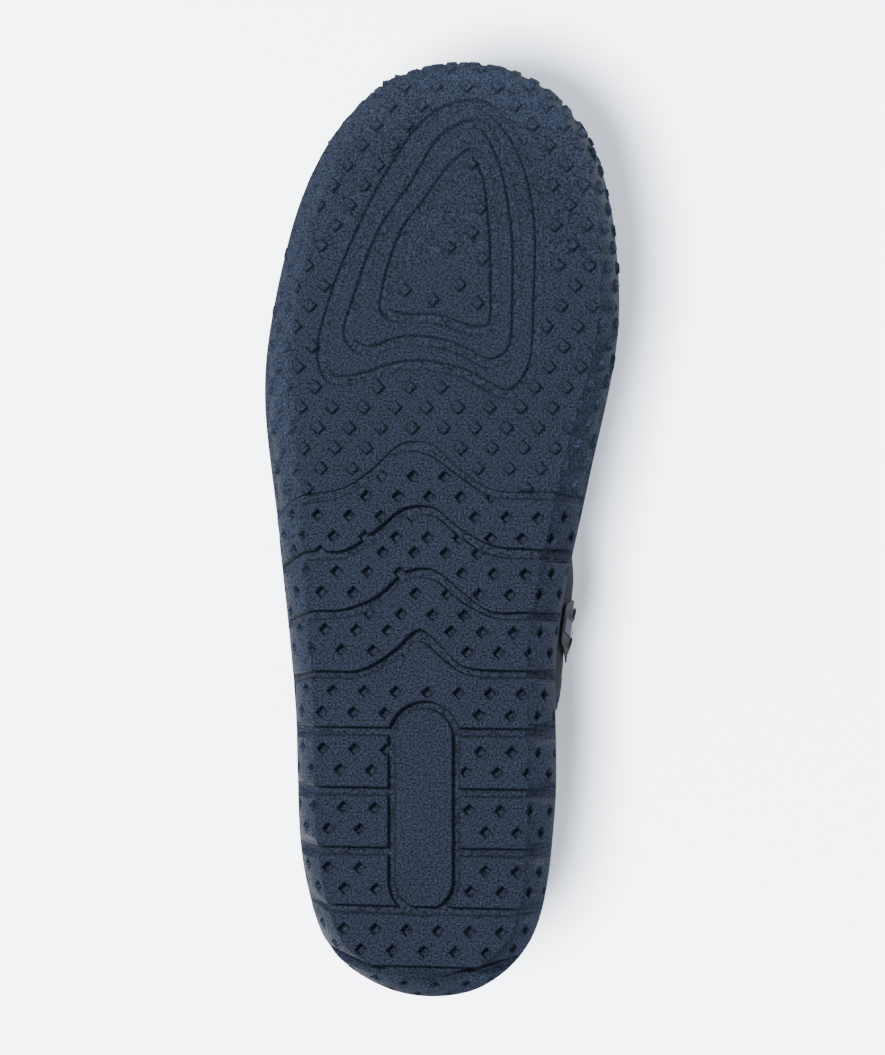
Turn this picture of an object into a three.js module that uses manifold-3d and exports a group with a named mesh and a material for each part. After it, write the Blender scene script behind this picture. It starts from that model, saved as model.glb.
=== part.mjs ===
// A right-foot neoprene ankle boot for water sports: a moulded rubber cup sole with a pattern of
// channels, a sewn neoprene upper and a straight zip on the inner (medial) side.
// Millimetres. +Z up, +Y towards the toe, -X is the medial side. The origin is on the ground,
// at the middle of the sole's length and width.
import * as THREE from 'three';
import { mergeVertices } from 'three/addons/utils/BufferGeometryUtils.js';
import Module from 'manifold-3d';

const wasm = await Module();
wasm.setup();

// ---------------------------------------------------------------- driving dimensions
const GAP = 0.3;                  // air kept between neighbouring pieces
const SEGMENTS = 48;              // steps round every ring of the boot
const HALF = SEGMENTS / 2;

// The widest line of the sole: x, y, and how far inside it the bottom edge lies.
// It runs from the toe tip down the outer side to the heel tip and back up the inner side.
const OUTLINE = [
  [-7, 142.5, 3], [15, 137.5, 3.5], [31, 123, 5], [43, 100, 6.5], [52, 64, 7.5],
  [54, 40, 9], [50, 0, 8], [45, -50, 6], [42, -104, 5.5], [34, -127.5, 5],
  [19, -139, 6], [3, -142.5, 7.5], [-13, -139, 7.5], [-27, -125, 7], [-34, -88, 8.5],
  [-35, -34, 9], [-44, 12, 9], [-53, 54, 7], [-54, 75, 6], [-51, 100, 5],
  [-45, 119, 3.5], [-29, 136.5, 3],
];
const SPRING_START = 72;          // the sole leaves the ground ahead of this y
const SPRING_RADIUS = 264;
const WIDEST_HEIGHT = 14;         // height of the widest line above the sole's underside

const SOLE_THICKNESS = 5;         // rubber under the foot, tread included
const TREAD_DEPTH = 2;            // channels in the middle and heel
const RIB_DEPTH = 0.9;            // shallow rings under the ball of the foot
const FOXING = 2.3;               // thickness of the rubber wall
const FOXING_RIM = 1.6;           // and at its top edge
const FOXING_SIDE = 18;           // height of the wall at the sides, toe and heel
const FOXING_TOE = 32;
const FOXING_HEEL = 42;

const MIDSOLE_THICKNESS = 3;
const SOCK_BOARD_THICKNESS = 2;
const INSOCK_THICKNESS = 3;
const NEOPRENE = 4.5;
const UPPER_INSET = 5.6;          // the upper's foot stands this far inside the widest line
const UPPER_INSET_WIDEST = 3.0;   // and this far at the height of the widest line

const COLLAR_HEIGHT = 165;
const BINDING_THICKNESS = 1.2;
const BINDING_WIDTH = 11;

// Rings of the upper's outer face above the sole: front point (y, z), back point (y, z),
// half width on the outer and the inner side, and how far the ring has turned from the
// sole's shape (0) to an ankle's oval (1).
const RINGS = [
  { front: [138.2, 31], back: [-139.2, 28], lateral: 50.2, medial: 49.5, oval: 0.14 },
  { front: [128, 44.5], back: [-138.6, 44], lateral: 47.5, medial: 46.2, oval: 0.33 },
  { front: [105, 54], back: [-135.5, 58], lateral: 44.2, medial: 42.8, oval: 0.54 },
  { front: [72, 64.5], back: [-130, 70], lateral: 42.4, medial: 40, oval: 0.74 },
  { front: [40, 79], back: [-123, 84], lateral: 41.5, medial: 37.2, oval: 0.92 },
  { front: [18, 101], back: [-116, 101], lateral: 41.8, medial: 34.8, oval: 1 },
  { front: [7, 130], back: [-111, 130], lateral: 42.2, medial: 33.6, oval: 1 },
  { front: [4, COLLAR_HEIGHT], back: [-109, COLLAR_HEIGHT], lateral: 42.8, medial: 34, oval: 1 },
];
const STEPS_BETWEEN_RINGS = [1, 2, 2, 2, 2, 2, 2, 2, 2];

// The zip is straight, from its lower end beside the arch up to the collar.
const ZIP_FOOT = new THREE.Vector3(-38.9, -32, 41);
const ZIP_TOP = new THREE.Vector3(-33, -64, COLLAR_HEIGHT);
const ZIP_TURN = 0.14;            // how far the zip's face turns towards the heel
const SLOT_HALF = 7.5;            // half the width of the slit in the neoprene
const FLAT_HALF = 13;             // the upper is flat this far each side of the zip
const FLAT_FADE = 36;
const TAPE_HALF = 15;
const TAPE_THICKNESS = 0.8;
const TOOTH_PITCH = 3.4;
const TOOTH_REACH = 3.4;
const TOOTH_THICKNESS = 2.6;
const TOOTH_ROOT = 1.3;           // a tooth runs from here on its own side
const TOOTH_TIP = 0.9;            // to here across the middle
const GUSSET_HALF = 21;
const GUSSET_THICKNESS = 2;
const SLIDER_LENGTH = 14;
const SLIDER_HALF = 5;
const SLIDER_WALL = 1.2;
const SLIDER_ROOF = 1.8;
const STOP_LENGTH = 3;

// ---------------------------------------------------------------- rings and lofts
const V = (x, y, z = 0) => new THREE.Vector3(x, y, z);
const clamp01 = (t) => Math.min(1, Math.max(0, t));
const lerp = (a, b, t) => a + (b - a) * t;
function smooth(from, to, value) {
  const t = clamp01((value - from) / (to - from));
  return t * t * (3 - 2 * t);
}
const lift = (y) => (y <= SPRING_START ? 0
  : SPRING_RADIUS - Math.sqrt(SPRING_RADIUS ** 2 - (y - SPRING_START) ** 2));

// A ring of SEGMENTS points at equal steps down the outer half and back up the inner half.
function equalHalves(pointAt) {
  const ring = [];
  for (const start of [0, 0.5]) {
    const fine = Array.from({ length: 401 }, (_, i) => pointAt(start + (i / 400) * 0.5));
    const run = [0];
    for (let i = 1; i < fine.length; i++) {
      run.push(run[i - 1] + Math.hypot(fine[i].x - fine[i - 1].x, fine[i].y - fine[i - 1].y));
    }
    let i = 0;
    for (let k = 0; k < HALF; k++) {
      const want = (run[400] * k) / HALF;
      while (run[i + 1] < want) i += 1;
      ring.push(fine[i].clone().lerp(fine[i + 1], (want - run[i]) / (run[i + 1] - run[i])));
    }
  }
  return ring;
}

// Moves a ring inwards in plan by a distance, which may differ from point to point.
function inwards(ring, distance) {
  return ring.map((p, k) => {
    const a = ring[(k + 1) % SEGMENTS];
    const b = ring[(k + SEGMENTS - 1) % SEGMENTS];
    const out = V(b.y - a.y, a.x - b.x).normalize().multiplyScalar(-1);
    const d = typeof distance === 'number' ? distance : distance[k];
    return V(p.x + out.x * d, p.y + out.y * d, p.z);
  });
}
const atHeight = (ring, height) => ring.map((p) => V(p.x, p.y, height + lift(p.y)));

const outlineCurve = new THREE.CatmullRomCurve3(OUTLINE.map((p) => V(...p)), true, 'centripetal');
const outline = equalHalves((u) => outlineCurve.getPoint(u % 1));
const insets = outline.map((p) => p.z);
const reach = (pick) => Math.max(...outline.map(pick));
const OUTLINE_BOX = {
  lateral: reach((p) => p.x), medial: reach((p) => -p.x), toe: reach((p) => p.y), heel: reach((p) => -p.y),
};

function stationRing({ front, back, lateral, medial, oval }) {
  const middle = (front[0] + back[0]) / 2;
  const half = (front[0] - back[0]) / 2;
  const egg = equalHalves((u) => {
    const turn = u * 2 * Math.PI;
    const side = Math.sin(turn);
    return V(side * (side > 0 ? lateral : medial), middle + half * Math.cos(turn));
  });
  return outline.map((p, k) => {
    const along = (p.y + OUTLINE_BOX.heel) / (OUTLINE_BOX.toe + OUTLINE_BOX.heel);
    const x = p.x > 0 ? (p.x * lateral) / OUTLINE_BOX.lateral : (p.x * medial) / OUTLINE_BOX.medial;
    const point = V(x, lerp(back[0], front[0], along)).lerp(egg[k], oval);
    point.z = lerp(back[1], front[1], (point.y - back[0]) / (front[0] - back[0]));
    return point;
  });
}

// Closed solids from stacked rings. With loop, the last ring joins the first, like a tyre;
// otherwise both ends are closed by strips from side to side.
function loft(rings, loop = false) {
  const position = rings.flat().flatMap((p) => [p.x, p.y, p.z]);
  const index = [];
  const quad = (a, b, c, d) => index.push(a, b, c, a, c, d);
  const rows = loop ? rings.length : rings.length - 1;
  for (let r = 0; r < rows; r++) {
    const low = r * SEGMENTS;
    const high = ((r + 1) % rings.length) * SEGMENTS;
    for (let k = 0; k < SEGMENTS; k++) {
      const next = (k + 1) % SEGMENTS;
      quad(low + next, low + k, high + k, high + next);
    }
  }
  if (!loop) {
    const cap = (base, up) => {
      for (let k = 0; k < HALF; k++) {
        const corners = [k, k + 1, (SEGMENTS - k - 1) % SEGMENTS, (SEGMENTS - k) % SEGMENTS].map((i) => base + i);
        const unique = corners.filter((c, i) => corners.indexOf(c) === i);
        if (!up) unique.reverse();
        for (let i = 1; i + 1 < unique.length; i++) index.push(unique[0], unique[i + 1], unique[i]);
      }
    };
    cap(0, false);
    cap((rings.length - 1) * SEGMENTS, true);
  }
  const geometry = new THREE.BufferGeometry();
  geometry.setAttribute('position', new THREE.Float32BufferAttribute(position, 3));
  geometry.setIndex(index);
  return geometry;
}

function solid(geometry) {
  const bare = new THREE.BufferGeometry();
  bare.setAttribute('position', geometry.getAttribute('position').clone());
  if (geometry.index) bare.setIndex(geometry.index.clone());
  const merged = mergeVertices(bare, 1e-4);
  const triVerts = new Uint32Array(merged.index.array);
  const vertProperties = new Float32Array(merged.getAttribute('position').array);
  return new wasm.Manifold(new wasm.Mesh({ numProp: 3, vertProperties, triVerts }));
}

function geometryOf(manifold) {
  const mesh = manifold.getMesh();
  const geometry = new THREE.BufferGeometry();
  geometry.setAttribute('position', new THREE.BufferAttribute(new Float32Array(mesh.vertProperties), 3));
  geometry.setIndex(new THREE.BufferAttribute(new Uint32Array(mesh.triVerts), 1));
  return geometry;
}

function block(low, high) {
  const geometry = new THREE.BoxGeometry(high[0] - low[0], high[1] - low[1], high[2] - low[2]);
  geometry.translate((low[0] + high[0]) / 2, (low[1] + high[1]) / 2, (low[2] + high[2]) / 2);
  return geometry;
}

// ---------------------------------------------------------------- the zip's own frame
// s runs backwards across the zip, h up along it and w outwards from the boot.
const ZIP_LENGTH = ZIP_TOP.distanceTo(ZIP_FOOT);
const zipUp = ZIP_TOP.clone().sub(ZIP_FOOT).normalize();
const facing = V(-1, -ZIP_TURN, 0).normalize();
const zipOut = facing.addScaledVector(zipUp, -facing.dot(zipUp)).normalize();
const zipSide = zipOut.clone().cross(zipUp).multiplyScalar(-1);
const zipFrame = new THREE.Matrix4().makeBasis(zipSide, zipUp, zipOut).setPosition(ZIP_FOOT);
const inZip = (p) => {
  const from = p.clone().sub(ZIP_FOOT);
  return { s: from.dot(zipSide), h: from.dot(zipUp), w: from.dot(zipOut) };
};
// A box given by its ranges of s, h and w.
const zipBlock = (s, h, w) => block([s[0], h[0], w[0]], [s[1], h[1], w[1]]).applyMatrix4(zipFrame);

function flattenAtZip(p) {
  const { s, h, w } = inZip(p);
  if (p.x > 0) return p.clone();
  const weight = (1 - smooth(FLAT_HALF, FLAT_FADE, Math.abs(s))) * smooth(-16, 2, h);
  return p.clone().addScaledVector(zipOut, -w * weight);
}

// ---------------------------------------------------------------- the upper's outer face
const SOCK_BOTTOM = SOLE_THICKNESS + GAP + MIDSOLE_THICKNESS + GAP;
const stations = [
  atHeight(inwards(outline, UPPER_INSET), SOCK_BOTTOM),
  atHeight(inwards(outline, UPPER_INSET_WIDEST), WIDEST_HEIGHT + 1),
  ...RINGS.map(stationRing),
];
const meridians = outline.map((_, k) => new THREE.CatmullRomCurve3(stations.map((ring) => ring[k]), false, 'centripetal'));
const outerFace = [];
for (let i = 0; i + 1 < stations.length; i++) {
  for (let step = 0; step < STEPS_BETWEEN_RINGS[i]; step++) {
    const t = (i + step / STEPS_BETWEEN_RINGS[i]) / (stations.length - 1);
    outerFace.push(meridians.map((curve) => flattenAtZip(curve.getPoint(t))));
  }
}
outerFace.push(meridians.map((curve) => flattenAtZip(curve.getPoint(1))));

const faceNormals = outerFace.map((ring, r) => ring.map((p, k) => {
  const around = ring[(k + 1) % SEGMENTS].clone().sub(ring[(k + SEGMENTS - 1) % SEGMENTS]);
  const up = outerFace[Math.min(r + 1, outerFace.length - 1)][k].clone().sub(outerFace[Math.max(r - 1, 0)][k]);
  const normal = up.cross(around).normalize();
  if (r === 0 || r === outerFace.length - 1) normal.setZ(0).normalize();
  return normal;
}));
// The face moved outwards by a distance along its own normals.
const faceAt = (distance) => outerFace.map((ring, r) => ring.map((p, k) => p.clone().addScaledVector(faceNormals[r][k], distance)));

// The point of the face on one meridian at a height, moved outwards by a distance.
function onFace(k, z, distance) {
  let r = 0;
  while (r + 2 < outerFace.length && outerFace[r + 1][k].z < z) r += 1;
  const t = clamp01((z - outerFace[r][k].z) / (outerFace[r + 1][k].z - outerFace[r][k].z));
  const normal = faceNormals[r][k].clone().lerp(faceNormals[r + 1][k], t);
  return outerFace[r][k].clone().lerp(outerFace[r + 1][k], t).addScaledVector(normal, distance);
}
// A layer that follows the upper between two distances from its outer face.
const layer = (inner, outer) => solid(loft([...faceAt(outer), ...faceAt(inner).reverse()], true));

// ---------------------------------------------------------------- sole
const foxingHeight = (y) => lerp(lerp(FOXING_SIDE, FOXING_TOE, smooth(80, 128, y)), FOXING_HEEL, smooth(-82, -126, y));

const POCKET_SHOULDER = 7.5;      // inset of the pocket's shoulder, under the upper's foot
// Outside of the rubber, shrunk by a distance where it makes the floor of the channels.
function soleOutside(shrink) {
  const edge = (share, extra) => inwards(outline, insets.map((inset) => inset * share + extra));
  return [
    atHeight(edge(1, shrink), shrink),
    atHeight(edge(0.5, shrink), Math.max(4, shrink + 2)),
    atHeight(edge(0.14, shrink), 9),
    atHeight(edge(0, shrink), WIDEST_HEIGHT),
  ];
}

function wallRing(share, distance, low) {
  return outline.map((p, k) => {
    const top = foxingHeight(p.y);
    const base = low + lift(p.y);
    return onFace(k, lerp(base, Math.max(top, base + 1), share), distance);
  });
}

// The channels are flat bands in plan: an upper and a lower edge, cut down to the channel floor.
const WAVE_STEPS = 14;
const band = (upper, lower) => {
  const edgePoints = (points) => new THREE.SplineCurve(points.map((p) => new THREE.Vector2(...p))).getPoints(WAVE_STEPS);
  return new THREE.Shape([...edgePoints(upper), ...edgePoints(lower).reverse()]);
};
// A hole has to run the other way round from the outline that it is in.
function addHole(shape, points) {
  const sameWay = THREE.ShapeUtils.isClockWise(points) === THREE.ShapeUtils.isClockWise(shape.getPoints());
  shape.holes.push(new THREE.Path(sameWay ? [...points].reverse() : points));
}
function prism(shape, low, high, curveSegments = 10) {
  const geometry = new THREE.ExtrudeGeometry(shape, { depth: high - low, bevelEnabled: false, curveSegments });
  return geometry.translate(0, 0, low);
}

// Four wavy channels under the arch; each list runs from the outer side to the inner side.
const WAVES = [
  { upper: [[60, 4], [45, 9.2], [30, 12], [22, 17], [12, 25.5], [3, 25], [-5, 18], [-15, 11.5], [-33, 10.7], [-56, 6]],
    lower: [[60, 1.4], [45, 6.4], [30, 9], [20, 15], [12, 22.5], [5, 22], [-5, 15.2], [-14, 9.4], [-33, 8], [-56, 3.2]] },
  { upper: [[58, -12], [41, -7], [30, -6.8], [20, -0.5], [12, 5.8], [3, 6.2], [-5, 0], [-15, -5.3], [-29, -6.5], [-50, -9]],
    lower: [[58, -15], [41, -10.2], [30, -9.5], [20, -4.5], [12, 2.4], [3, 3.4], [-5, -3], [-15, -8.5], [-29, -9.8], [-50, -12]] },
  { upper: [[56, -28], [40, -25], [30, -24.5], [20, -20.5], [11, -13], [3, -12.5], [-5, -18.5], [-14, -25], [-26, -25.4], [-46, -27]],
    lower: [[56, -31], [40, -28], [28, -27], [20, -24], [11, -16], [3, -15.7], [-5, -22], [-15, -27.2], [-27, -28], [-46, -30]] },
  { upper: [[56, -45], [39, -43], [25, -42.7], [15, -37], [7, -30.5], [0, -36], [-5, -41], [-10, -42.5], [-25, -43], [-46, -44]],
    lower: [[56, -48], [39, -45.4], [25, -45.2], [15, -40.6], [7, -34.4], [0, -39.6], [-5, -43.4], [-12, -45.2], [-25, -45.5], [-46, -47]] },
];
// Cross channels of the heel: y at the outer and the inner side, and the x where the cut stops
// short of the middle on each side (none on the last two, which run right across).
const CROSS_CHANNELS = [
  { outer: -61, inner: -61.9, stop: true }, { outer: -79, inner: -80.2, stop: true },
  { outer: -96.9, inner: -98.2, stop: true }, { outer: -114.2, inner: -116.4, stop: false },
  { outer: -132.4, inner: -134.3, stop: false },
];
const CROSS_WIDTH = 2.7;
const HEEL_WIDTH = 80;            // between the two sides that the y values are given at
const PAD = { x: 5.6, half: 8.5, top: -54.5, bottom: -114.6, channel: 2.6 };
const BALL_RINGS = [
  [[-12, 129.5], [3, 126], [15.7, 110], [26, 90], [34, 70], [38, 52], [35, 43.8], [28, 42.6], [10, 47.2], [-5, 45], [-20, 40],
    [-28, 46], [-30.4, 70], [-30, 97], [-24, 117]],
  [[-12, 123.6], [0, 119.6], [10, 104], [19.4, 90], [25.6, 72], [29.6, 57], [24, 51.2], [10, 54.7], [-3, 52.6], [-14, 47.6],
    [-22, 52], [-24, 72], [-23.2, 94], [-19, 113]],
  [[-9.5, 115], [-2, 110], [6, 99], [12.6, 90], [17, 78], [19.6, 65], [13, 61.6], [2, 60.6], [-9, 57], [-16, 60], [-17.4, 74],
    [-16.6, 94], [-14.4, 108]],
];
const BALL_RING_WIDTH = 3.2;
const BALL_RING_STEPS = 34;

const CUT_FROM = -2;              // the cutters start under the sole and end just below its widest line
const reachUp = WIDEST_HEIGHT - 1;
function channelCutters() {
  const cutters = WAVES.map(({ upper, lower }) => prism(band(upper, lower), CUT_FROM, reachUp));
  const cross = (x0, y0, x1, y1) => new THREE.Shape([
    new THREE.Vector2(x0, y0 + CROSS_WIDTH / 2), new THREE.Vector2(x1, y1 + CROSS_WIDTH / 2),
    new THREE.Vector2(x1, y1 - CROSS_WIDTH / 2), new THREE.Vector2(x0, y0 - CROSS_WIDTH / 2),
  ]);
  const side = 60;
  for (const { outer, inner, stop } of CROSS_CHANNELS) {
    const slope = (outer - inner) / HEEL_WIDTH;
    const at = (x) => (outer + inner) / 2 + slope * x;
    const inset = PAD.half + PAD.channel / 2;
    if (stop) {
      cutters.push(prism(cross(side, at(side), PAD.x + inset, at(PAD.x + inset)), CUT_FROM, reachUp));
      cutters.push(prism(cross(PAD.x - inset, at(PAD.x - inset), -side, at(-side)), CUT_FROM, reachUp));
    } else {
      cutters.push(prism(cross(side, at(side), -side, at(-side)), CUT_FROM, reachUp));
    }
  }
  const stadium = (half) => {
    const shape = new THREE.Shape();
    const top = PAD.top - PAD.half;
    const bottom = PAD.bottom + PAD.half;
    shape.absarc(PAD.x, top, half, 0, Math.PI);
    shape.absarc(PAD.x, bottom, half, Math.PI, 2 * Math.PI);
    return shape;
  };
  const moat = stadium(PAD.half + PAD.channel);
  addHole(moat, stadium(PAD.half).getPoints(10));
  cutters.push(prism(moat, CUT_FROM, reachUp));
  return cutters.map(solid);
}

function ballRingCutters() {
  return BALL_RINGS.map((points) => {
    const curve = new THREE.CatmullRomCurve3(points.map(([x, y]) => V(x, y)), true, 'centripetal');
    const line = curve.getSpacedPoints(BALL_RING_STEPS).slice(0, -1);
    const side = (distance) => line.map((p, i) => {
      const ahead = line[(i + 1) % line.length];
      const behind = line[(i + line.length - 1) % line.length];
      const across = new THREE.Vector2(ahead.y - behind.y, behind.x - ahead.x).normalize();
      return new THREE.Vector2(p.x + across.x * distance, p.y + across.y * distance);
    });
    const shape = new THREE.Shape(side(0));
    addHole(shape, side(BALL_RING_WIDTH));
    return solid(prism(shape, CUT_FROM, reachUp));
  });
}

function outsole() {
  const pocket = inwards(outline, UPPER_INSET - GAP);
  const body = solid(loft([
    ...soleOutside(0),
    wallRing(0.55, GAP + FOXING, WIDEST_HEIGHT),
    wallRing(1, GAP + FOXING_RIM, WIDEST_HEIGHT),
    wallRing(1, -2, WIDEST_HEIGHT),
    atHeight(inwards(outline, POCKET_SHOULDER), WIDEST_HEIGHT - 2),
    atHeight(pocket, SOCK_BOTTOM + 0.6),
    atHeight(pocket, SOLE_THICKNESS),
  ]));
  const deepCore = solid(loft(soleOutside(TREAD_DEPTH)));
  const shallowCore = solid(loft(soleOutside(RIB_DEPTH)));
  let cut = body.subtract(solid(loft(faceAt(GAP))));
  for (const cutter of channelCutters()) cut = cut.subtract(cutter.subtract(deepCore));
  for (const cutter of ballRingCutters()) cut = cut.subtract(cutter.subtract(shallowCore));
  return cut;
}

const slab = (ring, low, high) => loft([atHeight(ring, low), atHeight(ring, high)]);
const innerOutline = inwards(outline, UPPER_INSET + NEOPRENE + GAP);
const midsole = () => slab(inwards(outline, UPPER_INSET), SOLE_THICKNESS + GAP, SOLE_THICKNESS + GAP + MIDSOLE_THICKNESS);
const sockBoard = () => slab(innerOutline, SOCK_BOTTOM, SOCK_BOTTOM + SOCK_BOARD_THICKNESS);
const INSOCK_BOTTOM = SOCK_BOTTOM + SOCK_BOARD_THICKNESS + GAP;
const insock = () => slab(innerOutline, INSOCK_BOTTOM, INSOCK_BOTTOM + INSOCK_THICKNESS);

// ---------------------------------------------------------------- sewn upper
// The seam behind the vamp, in side view (y, z), from below the foxing up over the instep.
const VAMP_SEAM = [[-14, -20], [-10, 15], [3, 38], [22, 58], [40, 82], [52, 120]];
function vampSide(shift) {
  const seam = new THREE.SplineCurve(VAMP_SEAM.map(([y, z]) => new THREE.Vector2(y + shift, z))).getPoints(9);
  const shape = new THREE.Shape([...seam, new THREE.Vector2(220, 120), new THREE.Vector2(220, -20)]);
  const geometry = new THREE.ExtrudeGeometry(shape, { depth: 160, bevelEnabled: false });
  geometry.applyMatrix4(new THREE.Matrix4().makeBasis(V(0, 1, 0), V(0, 0, 1), V(1, 0, 0)));
  return solid(geometry.translate(-80, 0, 0));
}

function upperPanels() {
  const shell = layer(-NEOPRENE, 0);
  const vampRegion = vampSide(GAP / 2);
  const vamp = shell.intersect(vampRegion);
  const rest = shell.subtract(vampSide(-GAP / 2));
  const far = 300;
  const lateral = rest.intersect(solid(block([GAP / 2, -far, -far], [far, far, far])));
  const medial = rest.intersect(solid(block([-far, -far, -far], [-GAP / 2, far, far])));
  const slot = solid(zipBlock([-SLOT_HALF, SLOT_HALF], [0, far], [-60, 60]));
  const opened = medial.subtract(slot);
  const forward = opened.intersect(solid(zipBlock([-far, -GAP / 2], [-far, far], [-far, far])));
  const rearward = opened.intersect(solid(zipBlock([GAP / 2, far], [-far, far], [-far, far])));
  return { vamp, lateral, forward, rearward };
}

// Tape folded over the top edge, left open at the zip.
function collarBinding() {
  const top = outerFace.length - 1;
  const ringAt = (z, distance) => outline.map((_, k) => onFace(k, z, distance));
  const high = COLLAR_HEIGHT;
  const low = high - BINDING_WIDTH;
  const topRing = (z, distance) => outerFace[top].map((p, k) => {
    const moved = p.clone().addScaledVector(faceNormals[top][k], distance);
    return V(moved.x, moved.y, z);
  });
  const clear = 2 * GAP;
  const out = clear + BINDING_THICKNESS;
  const binding = solid(loft([
    ringAt(low, clear), ringAt(low, out), topRing(high + out, out), topRing(high + out, -NEOPRENE - out),
    ringAt(low, -NEOPRENE - out), ringAt(low, -NEOPRENE - clear),
    topRing(high + GAP, -NEOPRENE - clear), topRing(high + GAP, clear),
  ], true));
  return binding.subtract(solid(zipBlock([-SLOT_HALF, SLOT_HALF], [0, 300], [-60, 60])));
}

// ---------------------------------------------------------------- zip
const TAPE_TOP = -NEOPRENE - GAP;
const TAPE_BOTTOM = TAPE_TOP - TAPE_THICKNESS;
const TEETH_LOW = TAPE_TOP + GAP;
const TEETH_HIGH = TEETH_LOW + TOOTH_THICKNESS;
const CHAIN_START = 5;
const CHAIN_END = ZIP_LENGTH - 6;
const TAPE_END = ZIP_LENGTH - 1;
const TAPE_INNER = 0.6;           // the tapes' inner edges stay this far from the middle line
const inside = layer(TAPE_BOTTOM, TAPE_TOP);

// Full width up to the collar binding, and only as wide as the slit above that.
const BELOW_BINDING = ZIP_LENGTH - BINDING_WIDTH - 8;
function strip(low, high, start, depth) {
  const narrow = [Math.max(low, GAP - SLOT_HALF), Math.min(high, SLOT_HALF - GAP)];
  return solid(zipBlock([low, high], [start, BELOW_BINDING], depth))
    .add(solid(zipBlock(narrow, [BELOW_BINDING - 1, TAPE_END], depth)));
}
function tape(side) {
  const [low, high] = side > 0 ? [TAPE_INNER, TAPE_HALF] : [-TAPE_HALF, -TAPE_INNER];
  return inside.intersect(strip(low, high, -3, [TAPE_BOTTOM - 3, TAPE_TOP + 3]));
}

function gusset() {
  const high = TAPE_BOTTOM - GAP;
  const skin = layer(high - GUSSET_THICKNESS, high);
  return skin.intersect(strip(-GUSSET_HALF, GUSSET_HALF, -6, [high - 8, high + 4]));
}

// One row of teeth: a comb whose fingers cross the middle between those of the other row.
function teeth(side) {
  const rows = Math.floor((CHAIN_END - CHAIN_START) / TOOTH_PITCH);
  const finger = (TOOTH_PITCH - 2 * GAP) / 2;
  const phase = side > 0 ? 0 : TOOTH_PITCH / 2;
  const outer = TOOTH_REACH * side;
  const root = TOOTH_ROOT * side;
  const tip = -TOOTH_TIP * side;
  const points = [new THREE.Vector2(outer, CHAIN_START)];
  for (let i = 0; i < rows; i++) {
    const start = CHAIN_START + phase + i * TOOTH_PITCH;
    points.push(new THREE.Vector2(root, start), new THREE.Vector2(tip, start));
    points.push(new THREE.Vector2(tip, start + finger), new THREE.Vector2(root, start + finger));
  }
  points.push(new THREE.Vector2(outer, CHAIN_START + rows * TOOTH_PITCH + TOOTH_PITCH / 2));
  const geometry = new THREE.ExtrudeGeometry(new THREE.Shape(points), { depth: TOOTH_THICKNESS, bevelEnabled: false });
  return geometry.translate(0, 0, TEETH_LOW).applyMatrix4(zipFrame);
}

const SLIDER_TOP = CHAIN_END - STOP_LENGTH - 1;
const PLATE_LOW = TEETH_HIGH + GAP;
const PLATE_HIGH = PLATE_LOW + SLIDER_ROOF;
const PIVOT_H = SLIDER_TOP - SLIDER_LENGTH / 2;
const LINK_THICKNESS = 1.2;
const PIVOT_W = 2.8;
const STAPLE = { half: 1, inside: 2.5, post: 1.7, rise: 3.55, bar: 1.3 };

function slider() {
  const bottom = SLIDER_TOP - SLIDER_LENGTH;
  const wallIn = SLIDER_HALF - SLIDER_WALL;
  const parts = [
    zipBlock([-SLIDER_HALF, SLIDER_HALF], [bottom, SLIDER_TOP], [PLATE_LOW, PLATE_HIGH]),
    zipBlock([wallIn, SLIDER_HALF], [bottom, SLIDER_TOP], [TEETH_LOW, PLATE_LOW + 0.4]),
    zipBlock([-SLIDER_HALF, -wallIn], [bottom, SLIDER_TOP], [TEETH_LOW, PLATE_LOW + 0.4]),
  ];
  for (const end of [-1, 1]) {
    const posts = [PIVOT_H + end * STAPLE.inside, PIVOT_H + end * (STAPLE.inside + STAPLE.post)].sort((a, b) => a - b);
    parts.push(zipBlock([-STAPLE.half, STAPLE.half], posts, [PLATE_HIGH - 0.4, PLATE_HIGH + STAPLE.rise + STAPLE.bar]));
  }
  const far = STAPLE.inside + STAPLE.post;
  parts.push(zipBlock([-STAPLE.half, STAPLE.half], [PIVOT_H - far, PIVOT_H + far],
    [PLATE_HIGH + STAPLE.rise, PLATE_HIGH + STAPLE.rise + STAPLE.bar]));
  return parts.map(solid).reduce((whole, next) => whole.add(next));
}

// The link hangs from the slider's staple by a window in it.
const LINK = { half: 2.9, above: 0.6, length: 13, windowHalf: 1.6, windowLength: 5.6 };
function pullLink() {
  const shape = new THREE.Shape();
  const { half, above, length, windowHalf, windowLength } = LINK;
  shape.moveTo(-half, above).lineTo(-half, -length).lineTo(half, -length).lineTo(half, above).closePath();
  addHole(shape, [[-windowHalf, -above], [windowHalf, -above], [windowHalf, -windowLength], [-windowHalf, -windowLength]]
    .map((p) => new THREE.Vector2(...p)));
  const geometry = new THREE.ExtrudeGeometry(shape, { depth: LINK_THICKNESS, bevelEnabled: false });
  return geometry.translate(0, PIVOT_H, PIVOT_W - LINK_THICKNESS / 2).applyMatrix4(zipFrame);
}

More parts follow.
